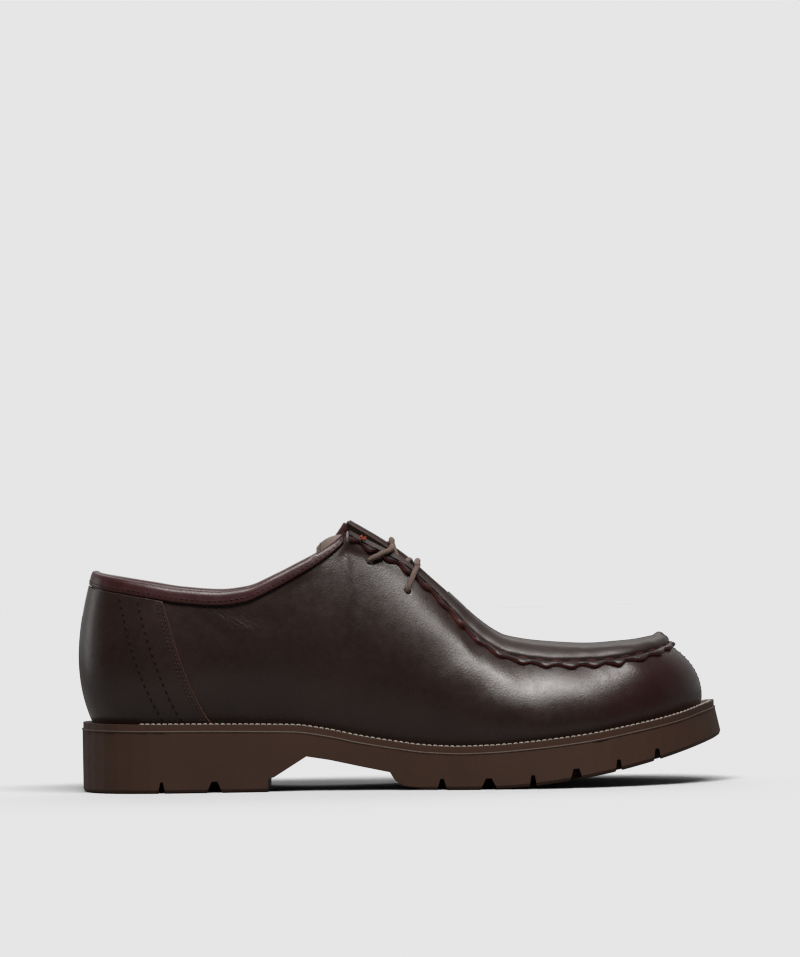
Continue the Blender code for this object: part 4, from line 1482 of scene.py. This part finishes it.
def dress_node(node, material, width=0.0):
    """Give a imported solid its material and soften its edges."""
    node.data.materials.clear()
    node.data.materials.append(material)
    node.data.shade_smooth()
    node.data.set_sharp_from_angle(angle=NODE_SHARP)
    if width:
        rounded(node, width, NODE_SHARP)
        even = node.modifiers.new("even shading", "WEIGHTED_NORMAL")
        even.keep_sharp = True


# Surroundings
FLOOR_REACH = 4.0
FLOOR_COLOUR = (0.22, 0.21, 0.205, 1.0)
BACKDROP_COLOUR = (0.791, 0.791, 0.791, 1.0)
GLOW_SPAN = (-0.2, 0.8)
FRONT_GLOW = 0.036
BACK_GLOW = 0.34
LIGHT_AIM = (0.0, 0.0, 0.05)
LIGHT_COLOUR = (1.0, 0.965, 0.935)

# Lights: name, place, size and power
LIGHTS = (
    ("top_light", (0.25, -0.60, 1.38), (0.90, 0.44), 16.5),
    ("side_light", (-0.24, -0.70, 1.36), (0.44, 0.42), 11.0),
    ("back_light", (0.1, 1.3, 1.2), (1.4, 0.8), 5.5),
    ("heel_light", (-1.35, 0.70, 0.30), (0.5, 0.7), 1.2),
)


def build_floor():
    """Floor that only takes shadows."""
    corners = [(x * FLOOR_REACH, y * FLOOR_REACH, 0) for x, y in ((-1, -1), (1, -1), (1, 1), (-1, 1))]
    mesh = mesh_of("floor", corners, [cap(0, 4)])
    floor = placed("floor", mesh)
    paint, _, shader = new_material("floor")
    set_values(shader, Base_Color=FLOOR_COLOUR, Roughness=0.9, Specular_IOR_Level=0.0)
    mesh.materials.append(paint)
    floor.is_shadow_catcher = True


def build_world():
    """Plain backdrop for the camera, and a soft glow that is stronger from behind."""
    world = bpy.data.worlds.new("studio")
    bpy.context.scene.world = world
    world.use_nodes = True
    tree = world.node_tree
    tree.nodes.clear()
    output = tree.nodes.new("ShaderNodeOutputWorld")
    seen = tree.nodes.new("ShaderNodeBackground")
    seen.inputs["Color"].default_value = BACKDROP_COLOUR
    lit = tree.nodes.new("ShaderNodeBackground")
    lit.inputs["Color"].default_value = (1.0, 1.0, 1.0, 1.0)
    glow = ramp(tree, split_axes(tree, "Generated"), "Y", GLOW_SPAN, FRONT_GLOW, BACK_GLOW)
    link(tree, glow, "Result", lit, "Strength")
    path = tree.nodes.new("ShaderNodeLightPath")
    mix = tree.nodes.new("ShaderNodeMixShader")
    link(tree, path, "Is Camera Ray", mix, "Fac")
    link(tree, lit, "Background", mix, 1)
    link(tree, seen, "Background", mix, 2)
    link(tree, mix, "Shader", output, "Surface")


def build_lights():
    """Soft rectangular lights that look at the shoe."""
    for name, place, size, power in LIGHTS:
        light = bpy.data.lights.new(name, "AREA")
        light.shape = "RECTANGLE"
        light.size, light.size_y = size
        light.energy = power
        light.color = LIGHT_COLOUR
        shape = placed(name, light)
        shape.location = place
        away = shape.location - Vector(LIGHT_AIM)
        shape.rotation_euler = away.to_track_quat("Z", "Y").to_euler()


def build_camera():
    camera = bpy.data.cameras.new("photo_camera")
    camera.sensor_fit = "VERTICAL"
    camera.sensor_height = SENSOR_MM
    camera.lens = FOCAL_PIXELS / PHOTO_HEIGHT * SENSOR_MM
    camera.clip_end = CAMERA_REACH
    shape = placed("photo_camera", camera)
    level = Matrix.Rotation(math.radians(90), 4, "X")
    roll = Matrix.Rotation(CAMERA_ROLL, 4, "Z")
    shape.matrix_world = Matrix.Translation(CAMERA) @ level @ roll.inverted()
    bpy.context.scene.camera = shape


def main():
    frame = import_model()
    bpy.context.scene.view_settings.view_transform = "Standard"
    build_camera()
    build_floor()
    build_world()
    build_lights()

    brown = leather("dark leather", 0.30, grain=1.0, coat=0.12, red_toe=True, worn=True)
    trim = leather("apron leather", 0.42, grain=1.0, coat=0.04)
    wine = leather("binding leather", 0.38, grain=0.8, coat=0.04)
    grey = leather("tongue leather", 0.55, grain=1.2)
    lining = leather("lining leather", 0.55, grain=0.8)
    dark_edge = raw_edge("dark edge")
    fine_thread = twisted_thread("fine thread")
    dark_thread = twisted_thread("dark thread", 0.75)

    dress_node(frame["nodes"]["outsole"], rubber("sole rubber", 0.62), SOLE_ROUND)
    dress_node(frame["nodes"]["welt"], rubber("welt rubber", 0.58), WELT_ROUND)
    dress_node(frame["nodes"]["insole"], lining)
    build_upper([brown, lining, dark_edge])
    build_apron([trim, lining, raw_edge("burgundy edge")])
    build_counter([brown, lining, raw_edge("reddish edge")])
    build_binding(wine)
    build_tongue([grey, grey, dark_edge])
    stitch_binding(fine_thread)
    stitch_apron(twisted_thread("hand thread", 0.5))
    fine, coarse = counter_routes(COUNTER_FINE), counter_routes(COUNTER_COARSE)
    stitches("counter_fine_stitches", fine, FINE_STITCH, fine_thread)
    stitches("counter_coarse_stitches", coarse, COARSE_STITCH, dark_thread)
    stitch_welt(twisted_thread("welt thread"))
    stitch_tongue(dark_thread)
    stitch_toe(dark_thread)
    build_lace(braided_cord("lace braid and painted groove shade"))
    build_tuft(twisted_thread("thread ends"))
    # The ledge's lighter rubber tone is a painted highlight
    build_ledge(rubber("ledge rubber painted highlight", 0.5))


main()
